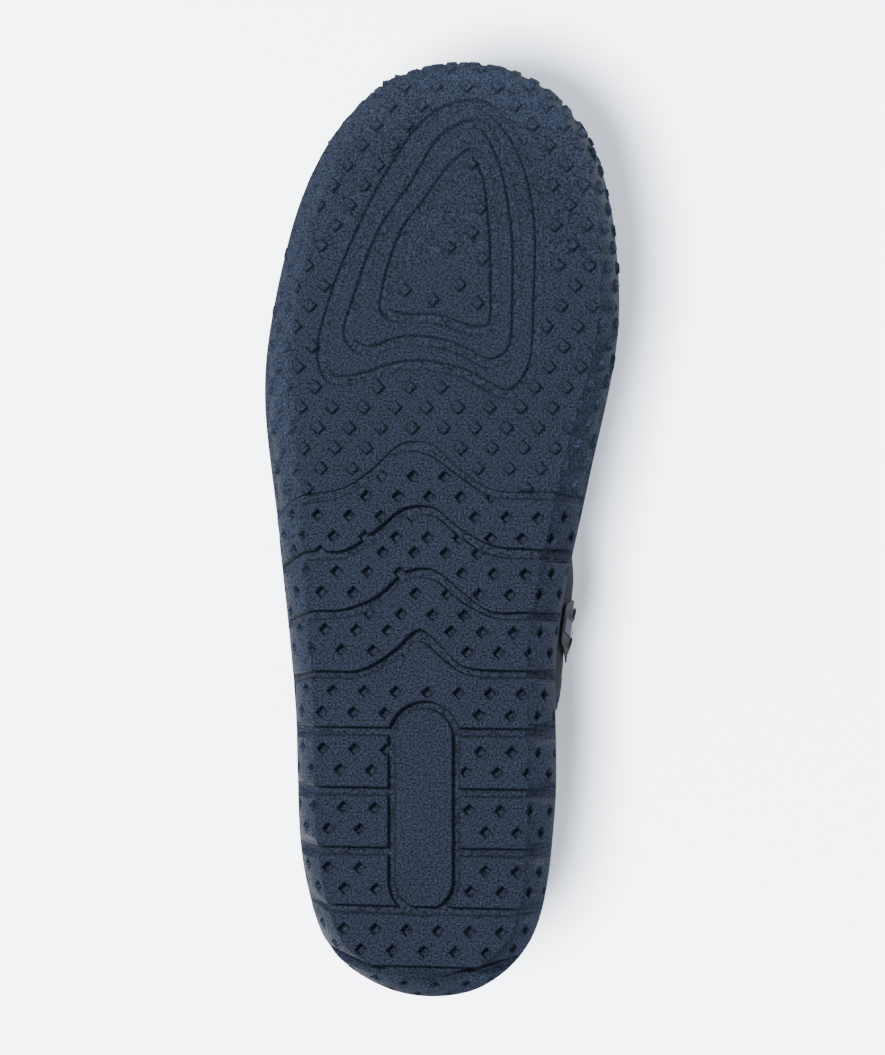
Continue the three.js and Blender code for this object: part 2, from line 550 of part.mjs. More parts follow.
const GRIP = { start: 8.5, length: 24, half: 4.4, thickness: 2.4, taper: 0.8 };
function pullGrip() {
  const shape = new THREE.Shape();
  const end = -GRIP.start - GRIP.length + GRIP.half;
  shape.moveTo(-GRIP.half * GRIP.taper, -GRIP.start);
  shape.lineTo(-GRIP.half, end);
  shape.absarc(0, end, GRIP.half, Math.PI, 2 * Math.PI);
  shape.lineTo(GRIP.half * GRIP.taper, -GRIP.start);
  const geometry = new THREE.ExtrudeGeometry(shape, { depth: GRIP.thickness, bevelEnabled: false, curveSegments: 8 });
  geometry.translate(0, PIVOT_H, PIVOT_W - GRIP.thickness / 2).applyMatrix4(zipFrame);
  const pocket = zipBlock([-LINK.half - GAP, LINK.half + GAP], [PIVOT_H - LINK.length - GAP, PIVOT_H],
    [PIVOT_W - LINK_THICKNESS / 2 - GAP, PIVOT_W + LINK_THICKNESS / 2 + GAP]);
  return solid(geometry).subtract(solid(pocket));
}

const STOP_INNER = 0.4;           // the top stops leave this much on each side of the middle line
const topStop = (side) => zipBlock(side > 0 ? [STOP_INNER, TOOTH_REACH] : [-TOOTH_REACH, -STOP_INNER],
  [CHAIN_END + TOOTH_PITCH / 2 + GAP - 1, CHAIN_END + STOP_LENGTH], [TEETH_LOW, TEETH_HIGH]);
const bottomStop = () => zipBlock([-TOOTH_REACH, TOOTH_REACH],
  [CHAIN_START - GAP - STOP_LENGTH - 1, CHAIN_START - GAP], [TEETH_LOW, TEETH_HIGH]);

// Sewn fabric tab over the zip's lower end: half widths at its top and its foot, and heights.
const TAB = { half: 9.5, footHalf: 6, top: 4, shoulder: -1.5, foot: -9, thickness: 0.7 };
function endTab() {
  const shape = new THREE.Shape();
  const { half, footHalf, top, shoulder, foot, thickness } = TAB;
  shape.moveTo(-half, shoulder).lineTo(-half, top).lineTo(half, top).lineTo(half, shoulder);
  shape.lineTo(footHalf, foot).lineTo(-footHalf, foot).closePath();
  const reach = 15;
  const geometry = new THREE.ExtrudeGeometry(shape, { depth: 2 * reach, bevelEnabled: false });
  geometry.translate(0, 0, -reach).applyMatrix4(zipFrame);
  return layer(2 * GAP, 2 * GAP + thickness).intersect(solid(geometry));
}

// ---------------------------------------------------------------- heel pieces
const backAt = (z) => onFace(HALF, z, 0).y;

// Webbing loop sewn to the back seam.
// It stands off by bow at its middle, and by a share of that at a turn's length from each sewn end.
const LOOP = { low: 116, sewnLow: 124, sewnHigh: 146, high: 152, half: 8, thickness: 1.6, bow: 11, turn: 5, shoulder: 0.72 };
function pullLoop() {
  const away = GAP + LOOP.thickness;
  const skin = (z, out) => new THREE.Vector2(backAt(z) - out, z);
  const middle = (LOOP.sewnLow + LOOP.sewnHigh) / 2;
  const shoulder = away + LOOP.bow * LOOP.shoulder;
  const outer = [
    skin(LOOP.low, away), skin(LOOP.sewnLow, away), skin(LOOP.sewnLow + LOOP.turn, shoulder),
    skin(middle, away + LOOP.bow),
    skin(LOOP.sewnHigh - LOOP.turn, shoulder), skin(LOOP.sewnHigh, away), skin(LOOP.high, away),
  ];
  const shape = new THREE.Shape([...outer, skin(LOOP.high, GAP), skin(LOOP.low, GAP)]);
  const eye = LOOP.turn / 2;
  addHole(shape, [
    skin(LOOP.sewnLow + eye, away), skin(LOOP.sewnLow + LOOP.turn + 1, shoulder - LOOP.thickness),
    skin(middle, away + LOOP.bow - LOOP.thickness),
    skin(LOOP.sewnHigh - LOOP.turn - 1, shoulder - LOOP.thickness), skin(LOOP.sewnHigh - eye, away),
  ]);
  const geometry = new THREE.ExtrudeGeometry(shape, { depth: 2 * LOOP.half, bevelEnabled: false });
  geometry.applyMatrix4(new THREE.Matrix4().makeBasis(V(0, 1, 0), V(0, 0, 1), V(1, 0, 0)));
  return geometry.translate(-LOOP.half, 0, 0);
}

// Rubber ledge that keeps a fin strap from slipping down the heel.
const LEDGE = { low: 52, high: 60, half: 19, depth: 4.6 };
function strapLedge() {
  const shape = new THREE.Shape();
  shape.moveTo(-170, LEDGE.low + 3).lineTo(-100, LEDGE.low - 1).lineTo(-100, LEDGE.high).lineTo(-170, LEDGE.high).closePath();
  const geometry = new THREE.ExtrudeGeometry(shape, { depth: 2 * LEDGE.half, bevelEnabled: false });
  geometry.applyMatrix4(new THREE.Matrix4().makeBasis(V(0, 1, 0), V(0, 0, 1), V(1, 0, 0)));
  geometry.translate(-LEDGE.half, 0, 0);
  return layer(GAP, GAP + LEDGE.depth).intersect(solid(geometry));
}

// ---------------------------------------------------------------- assembly
const RUBBER = { color: 0x37425a, roughness: 0.8 };
const FOAM = { color: 0x202226, roughness: 0.95 };
const CLOTH = { color: 0x1c2230, roughness: 0.92 };
const WEBBING = { color: 0x14171d, roughness: 0.85 };
const PLASTIC = { color: 0x101216, roughness: 0.45 };
const PALE_TAB = { color: 0x6d7688, roughness: 0.7 };

const boot = new THREE.Group();
function piece(name, shape, look) {
  const geometry = shape.isBufferGeometry ? shape : geometryOf(shape);
  const mesh = new THREE.Mesh(geometry, new THREE.MeshStandardMaterial({ metalness: 0, ...look }));
  mesh.name = name;
  boot.add(mesh);
}

const panels = upperPanels();
piece('outsole', outsole(), RUBBER);
piece('midsole', midsole(), FOAM);
piece('sock_board', sockBoard(), CLOTH);
piece('insock', insock(), FOAM);
piece('vamp', panels.vamp, CLOTH);
piece('lateral_quarter', panels.lateral, CLOTH);
piece('medial_front_quarter', panels.forward, CLOTH);
piece('medial_rear_quarter', panels.rearward, CLOTH);
piece('collar_binding', collarBinding(), WEBBING);
piece('zip_gusset', gusset(), CLOTH);
piece('zip_tape_front', tape(-1), WEBBING);
piece('zip_tape_rear', tape(1), WEBBING);
piece('zip_teeth_front', teeth(-1), PLASTIC);
piece('zip_teeth_rear', teeth(1), PLASTIC);
piece('zip_top_stop_front', topStop(-1), PLASTIC);
piece('zip_top_stop_rear', topStop(1), PLASTIC);
piece('zip_bottom_stop', bottomStop(), PLASTIC);
piece('zip_slider', slider(), PLASTIC);
piece('zip_pull_link', pullLink(), PLASTIC);
piece('zip_pull_grip', pullGrip(), RUBBER);
piece('zip_end_tab', endTab(), PALE_TAB);
piece('heel_pull_loop', pullLoop(), WEBBING);
piece('fin_strap_ledge', strapLedge(), RUBBER);

export default boot;
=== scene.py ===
"""Neoprene boot, right foot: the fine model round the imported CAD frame.

A moulded rubber cup sole with studs, pits and channels, a stitched neoprene upper, a zip on the
inner side, and a plain studio. Everything is in metres in the CAD model's frame: +Z up, +Y to the
toe, -X to the inner side.
"""
import math

import bmesh
import bpy
import numpy as np
from mathutils import Matrix, Vector
from mathutils.bvhtree import BVHTree
from mathutils.geometry import delaunay_2d_cdt


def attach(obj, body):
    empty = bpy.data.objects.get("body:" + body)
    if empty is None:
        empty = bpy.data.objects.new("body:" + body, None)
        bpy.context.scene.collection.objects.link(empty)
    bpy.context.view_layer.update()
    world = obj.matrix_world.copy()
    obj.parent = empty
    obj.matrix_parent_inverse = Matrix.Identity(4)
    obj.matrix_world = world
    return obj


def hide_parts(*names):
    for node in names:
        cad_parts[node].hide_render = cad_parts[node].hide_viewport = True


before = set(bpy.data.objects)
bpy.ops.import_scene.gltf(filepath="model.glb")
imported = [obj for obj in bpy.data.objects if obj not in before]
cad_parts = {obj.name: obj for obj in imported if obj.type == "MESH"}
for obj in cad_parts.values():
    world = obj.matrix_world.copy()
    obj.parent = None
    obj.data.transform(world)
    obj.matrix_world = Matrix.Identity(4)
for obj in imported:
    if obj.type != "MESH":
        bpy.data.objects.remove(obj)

bl_info = {
    "name": "Neoprene boot",
    "version": (1, 0, 0),
    "blender": (4, 5, 0),
    "location": "View3D > Sidebar > Boot",
    "description": "Builds a neoprene water-sports boot round its CAD frame",
    "category": "Object",
}

MM = 0.001
BOOT = "boot"
RUNNER = "zip_runner"
PULLER = "zip_puller"

# ------------------------------------------------------------------ the boot's own measures (mm)
GAP = 0.3
# Widest line of the sole: x, y, and how far inside it the bottom edge lies, from the toe tip down
# the outer side to the heel tip and back up the inner side.
OUTLINE = [
    (-7, 142.5, 3), (15, 137.5, 3.5), (31, 123, 5), (43, 100, 6.5), (52, 64, 7.5),
    (54, 40, 9), (50, 0, 8), (45, -50, 6), (42, -104, 5.5), (34, -127.5, 5),
    (19, -139, 6), (3, -142.5, 7.5), (-13, -139, 7.5), (-27, -125, 7), (-34, -88, 8.5),
    (-35, -34, 9), (-44, 12, 9), (-53, 54, 7), (-54, 75, 6), (-51, 100, 5),
    (-45, 119, 3.5), (-29, 136.5, 3),
]
SPRING_START, SPRING_RADIUS = 72, 264
WIDEST_HEIGHT = 14
SOCK_BOTTOM = 8.6
FOXING, FOXING_RIM = 2.3, 1.6
FOXING_SIDE, FOXING_TOE, FOXING_HEEL = 18, 32, 42
NEOPRENE = 4.5
UPPER_INSET, UPPER_INSET_WIDEST = 5.6, 3.0   # how far inside the widest line the upper stands
COLLAR_HEIGHT = 165

# Rings of the upper's outer face: front (y, z), back (y, z), outer and inner half width, and how
# far the ring has turned from the sole's shape (0) to an ankle's oval (1).
RINGS = [
    ((138.2, 31), (-139.2, 28), 50.2, 49.5, 0.14), ((128, 44.5), (-138.6, 44), 47.5, 46.2, 0.33),
    ((105, 54), (-135.5, 58), 44.2, 42.8, 0.54), ((72, 64.5), (-130, 70), 42.4, 40, 0.74),
    ((40, 79), (-123, 84), 41.5, 37.2, 0.92), ((18, 101), (-116, 101), 41.8, 34.8, 1),
    ((7, 130), (-111, 130), 42.2, 33.6, 1), ((4, COLLAR_HEIGHT), (-109, COLLAR_HEIGHT), 42.8, 34, 1),
]

ZIP_FOOT = np.array([-38.9, -32, 41.0])
ZIP_TOP = np.array([-33, -64, 165.0])
ZIP_TURN = 0.14
FLAT_HALF, FLAT_FADE = 13, 36


# ------------------------------------------------------------------ curves and rings
def smooth(low, high, value):
    t = np.clip((np.asarray(value, float) - low) / (high - low), 0, 1)
    return t * t * (3 - 2 * t)


def unit(v):
    return v / np.maximum(np.linalg.norm(v, axis=-1, keepdims=True), 1e-12)


def lift(y):
    """Height of the sole's underside: flat, then an arc up to the toe."""
    ahead = np.clip(np.asarray(y, float) - SPRING_START, 0, None)
    return SPRING_RADIUS - np.sqrt(SPRING_RADIUS**2 - ahead**2)


def spline(points, steps, closed=False):
    """A centripetal Catmull-Rom curve through points, steps samples to each stretch."""
    pts = np.array(points, float)
    count = len(pts)
    if closed:
        padded = np.vstack([pts[-1], pts, pts[0], pts[1]])
    else:
        padded = np.vstack([2 * pts[0] - pts[1], pts, 2 * pts[-1] - pts[-2]])
    out = []
    for i in range(count if closed else count - 1):
        p0, p1, p2, p3 = padded[i:i + 4]
        t1 = max(np.linalg.norm(p1 - p0), 1e-6) ** 0.5
        t2 = t1 + max(np.linalg.norm(p2 - p1), 1e-6) ** 0.5
        t3 = t2 + max(np.linalg.norm(p3 - p2), 1e-6) ** 0.5
        for t in np.linspace(t1, t2, steps, endpoint=False):
            a1 = p0 + (p1 - p0) * t / t1
            a2 = p1 + (p2 - p1) * (t - t1) / (t2 - t1)
            a3 = p2 + (p3 - p2) * (t - t2) / (t3 - t2)
            b1 = a1 + (a2 - a1) * t / t2
            b2 = a2 + (a3 - a2) * (t - t1) / (t3 - t1)
            out.append(b1 + (b2 - b1) * (t - t1) / (t2 - t1))
    if not closed:
        out.append(pts[-1])
    return np.array(out)


def resample(points, count):
    """count + 1 points at equal steps along a polyline, by its length in plan."""
    run = np.concatenate([[0], np.cumsum(np.linalg.norm(np.diff(points[:, :2], axis=0), axis=1))])
    want = np.linspace(0, run[-1], count + 1)
    return np.stack([np.interp(want, run, points[:, i]) for i in range(points.shape[1])], 1)


def equal_halves(closed_curve, segments):
    """Equal steps down the outer half and back up the inner half."""
    loop = np.vstack([closed_curve, closed_curve[:1]])
    middle = len(closed_curve) // 2
    down = resample(loop[:middle + 1], segments // 2)
    up = resample(loop[middle:], segments // 2)
    return np.vstack([down[:-1], up[:-1]])


def ring_normals(ring):
    """Outward normals of a ring in plan."""
    along = np.roll(ring, -1, 0) - np.roll(ring, 1, 0)
    return unit(np.stack([-along[:, 1], along[:, 0]], 1))


def inwards(ring, distance):
    moved = ring.copy()
    moved[:, :2] -= ring_normals(ring) * np.reshape(distance, (-1, 1))
    return moved


def at_height(ring, height):
    return np.column_stack([ring[:, :2], height + lift(ring[:, 1])])


def station_ring(outline, front, back, lateral, medial, oval):
    middle, half = (front[0] + back[0]) / 2, (front[0] - back[0]) / 2
    turn = np.linspace(0, 2 * math.pi, 800, endpoint=False)
    side = np.sin(turn)
    egg = np.column_stack([side * np.where(side > 0, lateral, medial), middle + half * np.cos(turn)])
    egg = equal_halves(egg, len(outline))
    x, y = outline[:, 0], outline[:, 1]
    shaped_x = np.where(x > 0, x * lateral / x.max(), x * medial / -x.min())
    shaped_y = back[0] + (front[0] - back[0]) * (y - y.min()) / (y.max() - y.min())
    mixed = (1 - oval) * np.column_stack([shaped_x, shaped_y]) + oval * egg
    z = back[1] + (front[1] - back[1]) * (mixed[:, 1] - back[0]) / (front[0] - back[0])
    return np.column_stack([mixed, z])


zip_up = unit(ZIP_TOP - ZIP_FOOT)
facing = unit(np.array([-1.0, -ZIP_TURN, 0]))
zip_out = unit(facing - zip_up * (facing @ zip_up))
zip_side = -np.cross(zip_out, zip_up)
ZIP_LENGTH = float(np.linalg.norm(ZIP_TOP - ZIP_FOOT))


def in_zip(points):
    """s backwards across the zip, h up along it, w outwards."""
    away = points - ZIP_FOOT
    return away @ zip_side, away @ zip_up, away @ zip_out


def from_zip(points):
    points = np.asarray(points, float)
    return ZIP_FOOT + points[:, :1] * zip_side + points[:, 1:2] * zip_up + points[:, 2:] * zip_out


def flatten_at_zip(points):
    s, h, w = in_zip(points)
    weight = (1 - smooth(FLAT_HALF, FLAT_FADE, np.abs(s))) * smooth(-16, 2, h) * (points[:, 0] <= 0)
    return points - zip_out * (w * weight)[:, None]


class Face:
    """The upper's outer face as a grid of rings, and layers that follow it."""

    def __init__(self, segments, steps):
        outline = equal_halves(spline(OUTLINE, 24, closed=True), segments)
        stations = [at_height(inwards(outline, UPPER_INSET), SOCK_BOTTOM),
                    at_height(inwards(outline, UPPER_INSET_WIDEST), WIDEST_HEIGHT + 1)]
        stations += [station_ring(outline, *ring) for ring in RINGS]
        stations = np.array(stations)
        self.grid = np.stack([spline(stations[:, k], steps) for k in range(segments)], 1)
        self.grid = np.array([flatten_at_zip(ring) for ring in self.grid])
        self.outline = outline
        self.normals = self.find_normals()

    def find_normals(self):
        around = np.roll(self.grid, -1, 1) - np.roll(self.grid, 1, 1)
        up = np.gradient(self.grid, axis=0)
        normals = unit(np.cross(up, around))
        for row in (0, -1):
            normals[row, :, 2] = 0
        return unit(normals)

    def at(self, distance):
        return self.grid + self.normals * distance

    def on(self, k, z, distance):
        """The point on one meridian at a height, moved outwards."""
        column, normal = self.grid[:, k], self.normals[:, k]
        point = np.array([np.interp(z, column[:, 2], column[:, i]) for i in range(3)])
        out = np.array([np.interp(z, column[:, 2], normal[:, i]) for i in range(3)])
        return point + unit(out) * distance


# ------------------------------------------------------------------ plain mesh helpers
def new_object(name, verts, faces, material, smooth_angle=None, scale=MM):
    """A mesh object from millimetre coordinates, linked to the scene."""
    mesh = bpy.data.meshes.new(name)
    mesh.from_pydata((np.asarray(verts, float) * scale).tolist(), [], [list(map(int, f)) for f in faces])
    mesh.update()
    obj = bpy.data.objects.new(name, mesh)
    bpy.context.scene.collection.objects.link(obj)
    mesh.materials.append(material)
    if smooth_angle is not None:
        mesh.shade_smooth()
        if smooth_angle < 180:
            mesh.set_sharp_from_angle(angle=math.radians(smooth_angle))
    return obj


def mend(mesh, merge=0.0):
    """Joins points closer than merge metres, and turns every face outwards."""
    tool = bmesh.new()
    tool.from_mesh(mesh)
    if merge:
        bmesh.ops.remove_doubles(tool, verts=tool.verts, dist=merge)
    bmesh.ops.recalc_face_normals(tool, faces=tool.faces)
    tool.to_mesh(mesh)
    tool.free()


def place(obj, body, replaces=()):
    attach(obj, body)
    if replaces:
        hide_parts(*replaces)
    return obj


def strips(rows, around, closed=True, offset=0, flip=False):
    """Quads between rows of vertices, each row around vertices long."""
    faces = []
    for r in range(rows - 1):
        for k in range(around if closed else around - 1):
            a, b = offset + r * around + k, offset + r * around + (k + 1) % around
            quad = (a, b, b + around, a + around)
            faces.append(quad[::-1] if flip else quad)
    return faces


# ------------------------------------------------------------------ signed distances in plan
def polygon_distance(points, polygon):
    """Signed distance to a closed polygon, negative inside."""
    polygon = np.asarray(polygon, float)
    best = np.full(len(points), 1e9)
    inside = np.zeros(len(points), bool)
    for a, b in zip(polygon, np.roll(polygon, -1, 0)):
        along, away = b - a, points - a
        t = np.clip((away @ along) / max(along @ along, 1e-12), 0, 1)
        best = np.minimum(best, np.linalg.norm(away - t[:, None] * along, axis=1))
        crosses = (a[1] > points[:, 1]) != (b[1] > points[:, 1])
        x_at = a[0] + (points[:, 1] - a[1]) * along[0] / (along[1] if along[1] else 1e-12)
        inside ^= crosses & (points[:, 0] < x_at)
    return np.where(inside, -best, best)


def near_box(points, polygon, margin):
    low, high = np.min(polygon, 0) - margin, np.max(polygon, 0) + margin
    return np.all((points > low) & (points < high), axis=1)


def polygons_distance(points, polygons, margin=3.0):
    """Distance to the nearest of several polygons, only exact within the margin."""
    best = np.full(len(points), margin)
    for polygon in polygons:
        near = near_box(points, polygon, margin)
        if near.any():
            best[near] = np.minimum(best[near], polygon_distance(points[near], polygon))
    return best


def diamonds_distance(points, centres, half, margin=3.0):
    best = np.full(len(points), margin)
    for centre in centres:
        away = np.abs(points - centre)
        near = np.all(away < half + margin, axis=1)
        best[near] = np.minimum(best[near], (away[near].sum(1) - half) / math.sqrt(2))
    return best


def contour(values, xs, ys, level):
    """Closed lines of one level in a grid of values, by marching squares."""
    above = values > level
    corner = [above[:-1, :-1], above[:-1, 1:], above[1:, 1:], above[1:, :-1]]
    case = sum(c.astype(int) << i for i, c in enumerate(corner))
    rows, cols = np.nonzero((case > 0) & (case < 15))

    def crossing(i, j, horizontal):
        a, b = values[i, j], values[i, j + 1] if horizontal else values[i + 1, j]
        t = (level - a) / (b - a)
        if horizontal:
            return xs[j] + t * (xs[j + 1] - xs[j]), ys[i]
        return xs[j], ys[i] + t * (ys[i + 1] - ys[i])

    sides = {1: "LB", 2: "BR", 3: "LR", 4: "RT", 5: "LTBR", 6: "BT", 7: "LT", 8: "TL", 9: "TB",
             10: "LBRT", 11: "TR", 12: "RL", 13: "RB", 14: "BL"}
    links, spots = {}, {}
    for i, j in zip(rows.tolist(), cols.tolist()):
        keys = {"B": (i, j, True), "T": (i + 1, j, True), "L": (i, j, False), "R": (i, j + 1, False)}
        word = sides[int(case[i, j])]
        for a, b in zip(word[::2], word[1::2]):
            for key in (keys[a], keys[b]):
                if key not in spots:
                    spots[key] = crossing(*key)
            links.setdefault(keys[a], []).append(keys[b])
            links.setdefault(keys[b], []).append(keys[a])
    lines, done = [], set()
    for start in list(links):
        if start in done:
            continue
        line, now = [start], start
        done.add(start)
        while True:
            ahead = [k for k in links[now] if k not in done]
            if not ahead:
                break
            now = ahead[0]
            done.add(now)
            line.append(now)
        lines.append(np.array([spots[k] for k in line]))
    return [line for line in lines if len(line) > 5]


def simplify(line, tolerance):
    """A closed line with only the points it needs (Douglas-Peucker)."""
    far = int(np.argmax(np.linalg.norm(line - line[0], axis=1)))
    loop = np.vstack([line, line[:1]])
    keep = np.zeros(len(loop), bool)
    keep[[0, far, len(loop) - 1]] = True
    stack = [(0, far), (far, len(loop) - 1)]
    while stack:
        a, b = stack.pop()
        if b - a < 2:
            continue
        along = loop[b] - loop[a]
        length = max(np.linalg.norm(along), 1e-9)
        away = loop[a + 1:b] - loop[a]
        off = np.abs(away[:, 0] * along[1] - away[:, 1] * along[0]) / length
        worst = int(np.argmax(off))
        if off[worst] > tolerance:
            middle = a + 1 + worst
            keep[middle] = True
            stack += [(a, middle), (middle, b)]
    return loop[:-1][keep[:-1]]


# ------------------------------------------------------------------ the sole's pattern (mm)
# Four wavy channels: upper and lower edge, from the outer side to the inner side.
WAVES = [
    ([(90, 2), (60, 4), (45, 9.2), (30, 12), (22, 17), (12, 25.5), (3, 25), (-5, 18), (-15, 11.5),
      (-33, 10.7), (-56, 6), (-90, 3)],
     [(90, -1), (60, 1.4), (45, 6.4), (30, 9), (20, 15), (12, 22.5), (5, 22), (-5, 15.2), (-14, 9.4),
      (-33, 8), (-56, 3.2), (-90, 0)]),
    ([(90, -14), (58, -12), (41, -7), (30, -6.8), (20, -0.5), (12, 5.8), (3, 6.2), (-5, 0), (-15, -5.3),
      (-29, -6.5), (-50, -9), (-90, -11)],
     [(90, -17), (58, -15), (41, -10.2), (30, -9.5), (20, -4.5), (12, 2.4), (3, 3.4), (-5, -3), (-15, -8.5),
      (-29, -9.8), (-50, -12), (-90, -14)]),
    ([(90, -30), (56, -28), (40, -25), (30, -24.5), (20, -20.5), (11, -13), (3, -12.5), (-5, -18.5),
      (-14, -25), (-26, -25.4), (-46, -27), (-90, -28)],
     [(90, -33), (56, -31), (40, -28), (28, -27), (20, -24), (11, -16), (3, -15.7), (-5, -22), (-15, -27.2),
      (-27, -28), (-46, -30), (-90, -31)]),
    ([(90, -47), (56, -45), (39, -43), (25, -42.7), (15, -37), (7, -30.5), (0, -36), (-5, -41),
      (-10, -42.5), (-25, -43), (-46, -44), (-90, -45)],
     [(90, -50), (56, -48), (39, -45.4), (25, -45.2), (15, -40.6), (7, -34.4), (0, -39.6), (-5, -43.4),
      (-12, -45.2), (-25, -45.5), (-46, -47), (-90, -48)]),
]
# Cross channels of the heel: y at the outer and the inner side, and whether they stop at the pad.
CROSS_CHANNELS = [(-61, -61.9, True), (-79, -80.2, True), (-96.9, -98.2, True), (-114.2, -116.4, False),
                  (-132.4, -134.3, False)]
CROSS_WIDTH = 2.7
PAD_X, PAD_HALF, PAD_TOP, PAD_BOTTOM, PAD_CHANNEL = 5.6, 8.5, -54.5, -114.6, 2.4
# Outer edge of the three drop-shaped grooves under the ball of the foot.
BALL_RINGS = [
    [(-12, 129.5), (3, 126), (15.7, 110), (26, 90), (34, 70), (38, 52), (35, 43.8), (28, 42.6), (10, 47.2),
     (-5, 45), (-20, 38.4), (-28, 46), (-30.4, 70), (-30, 97), (-24, 117)],
    [(-12, 123.6), (0, 119.6), (10, 104), (19.4, 90), (26.6, 71), (29.8, 57), (24, 51.6), (10, 54.7),
     (-3, 52.6), (-14, 47.6), (-22, 52), (-24, 72), (-23.2, 94), (-19, 113)],
    [(-9.5, 115), (-2, 110), (6, 99), (12.6, 90), (18.8, 70), (18.6, 64), (13, 61.4), (2, 61), (-9, 57.6),
     (-16, 59), (-17.4, 74), (-16.6, 94), (-14.4, 108)],
]
RING_WIDTH = 3.3
STUD_HALF, PIT_HALF = 1.95, 1.95
STUD_HEIGHT, RIB_DEPTH, TREAD_DEPTH = 1.15, 0.95, 2.0
PITCH = 9.45
# Diamond pits stand in rows behind the first channel: y on the middle line, and x of one pit.
PIT_ROWS = [(15.3, -0.6), (9.2, -5.5), (3.2, -0.4), (-3.1, -5), (-7.7, -1), (-13.7, -6), (-20, -1.5),
            (-26.3, -6.5), (-31.3, -2.5), (-37.4, -7.5), (-49.7, -4.9), (-56.2, -1.6), (-67.2, -11.4),
            (-73.4, -7), (-84.8, -8), (-91.3, -13), (-103, -12.9), (-109.2, -8.4), (-121.3, 1.3),
            (-127.6, -3.8), (-139.5, 2), (-146, -2.6)]
INNER_STUDS = [(-8.8, 109.8), (-11.3, 96), (-8.8, 88.8), (-2, 84.3), (-12, 80.9), (11.3, 71.5), (3, 68.5),
               (-5, 73), (-10.5, 67.5)]
GATE = (-15.8, -16, 5.3)


def stud_centres():
    """The forefoot's lattice of studs; its columns lean a little towards the outer side."""
    spots = []
    for row in range(-3, 24):
        y = 30 + 6.1 * row
        first = -0.3 + 0.068 * (y - 30) + PITCH / 2 * (row % 2)
        spots += [(first + PITCH * n, y) for n in range(-9, 10)]
    return np.array(spots)


def pit_centres():
    spots = []
    for y, x in PIT_ROWS:
        lean = 0.014 + 0.00013 * (3 - y)
        spots += [(x + PITCH * n, y + lean * (x + PITCH * n)) for n in range(-9, 10)]
    return np.array(spots)


def wave_polygon(upper, lower):
    return np.vstack([spline(upper, 6), spline(lower, 6)[::-1]])


def cross_polygon(x0, x1, line):
    half = CROSS_WIDTH / 2
    return [(x0, line(x0) + half), (x1, line(x1) + half), (x1, line(x1) - half), (x0, line(x0) - half)]


def channel_polygons():
    shapes = [wave_polygon(*wave) for wave in WAVES]
    inset = PAD_HALF + PAD_CHANNEL / 2
    for outer, inner, stop in CROSS_CHANNELS:
        def line(x, outer=outer, inner=inner):
            return (outer + inner) / 2 + (outer - inner) / 80 * x
        if stop:
            shapes.append(cross_polygon(90, PAD_X + inset, line))
            shapes.append(cross_polygon(PAD_X - inset, -90, line))
        else:
            shapes.append(cross_polygon(90, -90, line))
    return shapes


def pad_distance(points, half):
    top, bottom = PAD_TOP - PAD_HALF, PAD_BOTTOM + PAD_HALF
    y = points[:, 1] - np.clip(points[:, 1], bottom, top)
    return np.hypot(points[:, 0] - PAD_X, y) - half


class SolePattern:
    """Distances to the channels, grooves, studs and pits, in the sole's unrolled plan."""

    def __init__(self):
        self.channels = channel_polygons()
        self.front_line = spline(WAVES[0][0], 6)[::-1] - (0, 1.4)
        pits, studs = pit_centres(), stud_centres()
        self.rings = [spline(ring, 6, closed=True) for ring in BALL_RINGS]
        clear = self.channel_distance(pits)
        self.pits = pits[(~self.is_front(pits)) & (clear > -0.3) & (pad_distance(pits, PAD_HALF) > 1.5)]
        groove = self.groove_distance(studs)
        inner = polygon_distance(studs, self.rings[0]) < -1
        keep = self.is_front(studs) & (self.channel_distance(studs) > 0.6) & (groove > 1.1) & ~inner
        self.studs = np.vstack([studs[keep], INNER_STUDS])

    def is_front(self, points):
        return points[:, 1] > np.interp(points[:, 0], self.front_line[:, 0], self.front_line[:, 1])

    def channel_distance(self, points):
        moat = np.maximum(pad_distance(points, PAD_HALF + PAD_CHANNEL), -pad_distance(points, PAD_HALF))
        return np.minimum(polygons_distance(points, self.channels), moat)

    def groove_distance(self, points):
        best = np.full(len(points), 3.0)
        for ring in self.rings:
            near = near_box(points, ring, 3)
            d = polygon_distance(points[near], ring)
            best[near] = np.minimum(best[near], np.maximum(d, -RING_WIDTH - d))
        return best

    def fields(self, points, reach):
        """Distances to cuts, grooves and studs, where reach is how far each point is up the wall."""
        cut = np.minimum(self.channel_distance(points), diamonds_distance(points, self.pits, PIT_HALF))
        cut = np.maximum(cut, reach - CUT_REACH)
        stud = np.maximum(diamonds_distance(points, self.studs, STUD_HALF), reach - STUD_REACH)
        return cut, self.groove_distance(points), stud

    def depth(self, points, reach):
        """How far each point lies below the tread's outermost face."""
        cut, groove, stud = self.fields(points, reach)
        front = self.is_front(points) * (1 - smooth(STUD_REACH + 0.4, WALL_START - 0.4, reach))
        base = STUD_HEIGHT * front
        base = base + RIB_DEPTH * np.interp(groove, [-0.7, 0.15], [1, 0])
        base = base - STUD_HEIGHT * front * np.interp(stud, [-0.25, 0.4], [1, 0])
        gate = np.hypot(points[:, 0] - GATE[0], points[:, 1] - GATE[1]) - GATE[2]
        base = base + 0.12 * np.interp(np.abs(gate), [0.1, 0.4], [1, 0])
        # The cuts run out gently at the top of the wall.
        deep = np.interp(cut, [-0.4, 0, 0.25], [1, 0.14, 0]) * (1 - smooth(CUT_FADE, CUT_REACH, reach))
        return base * (1 - deep) + TREAD_DEPTH * deep


WALL_START = 17.6                 # the pattern's mesh ends this far up the wall from the bottom edge
STUD_REACH = 15.5
CUT_REACH = 16.4
CUT_FADE = 12.5
STATIONS = 480


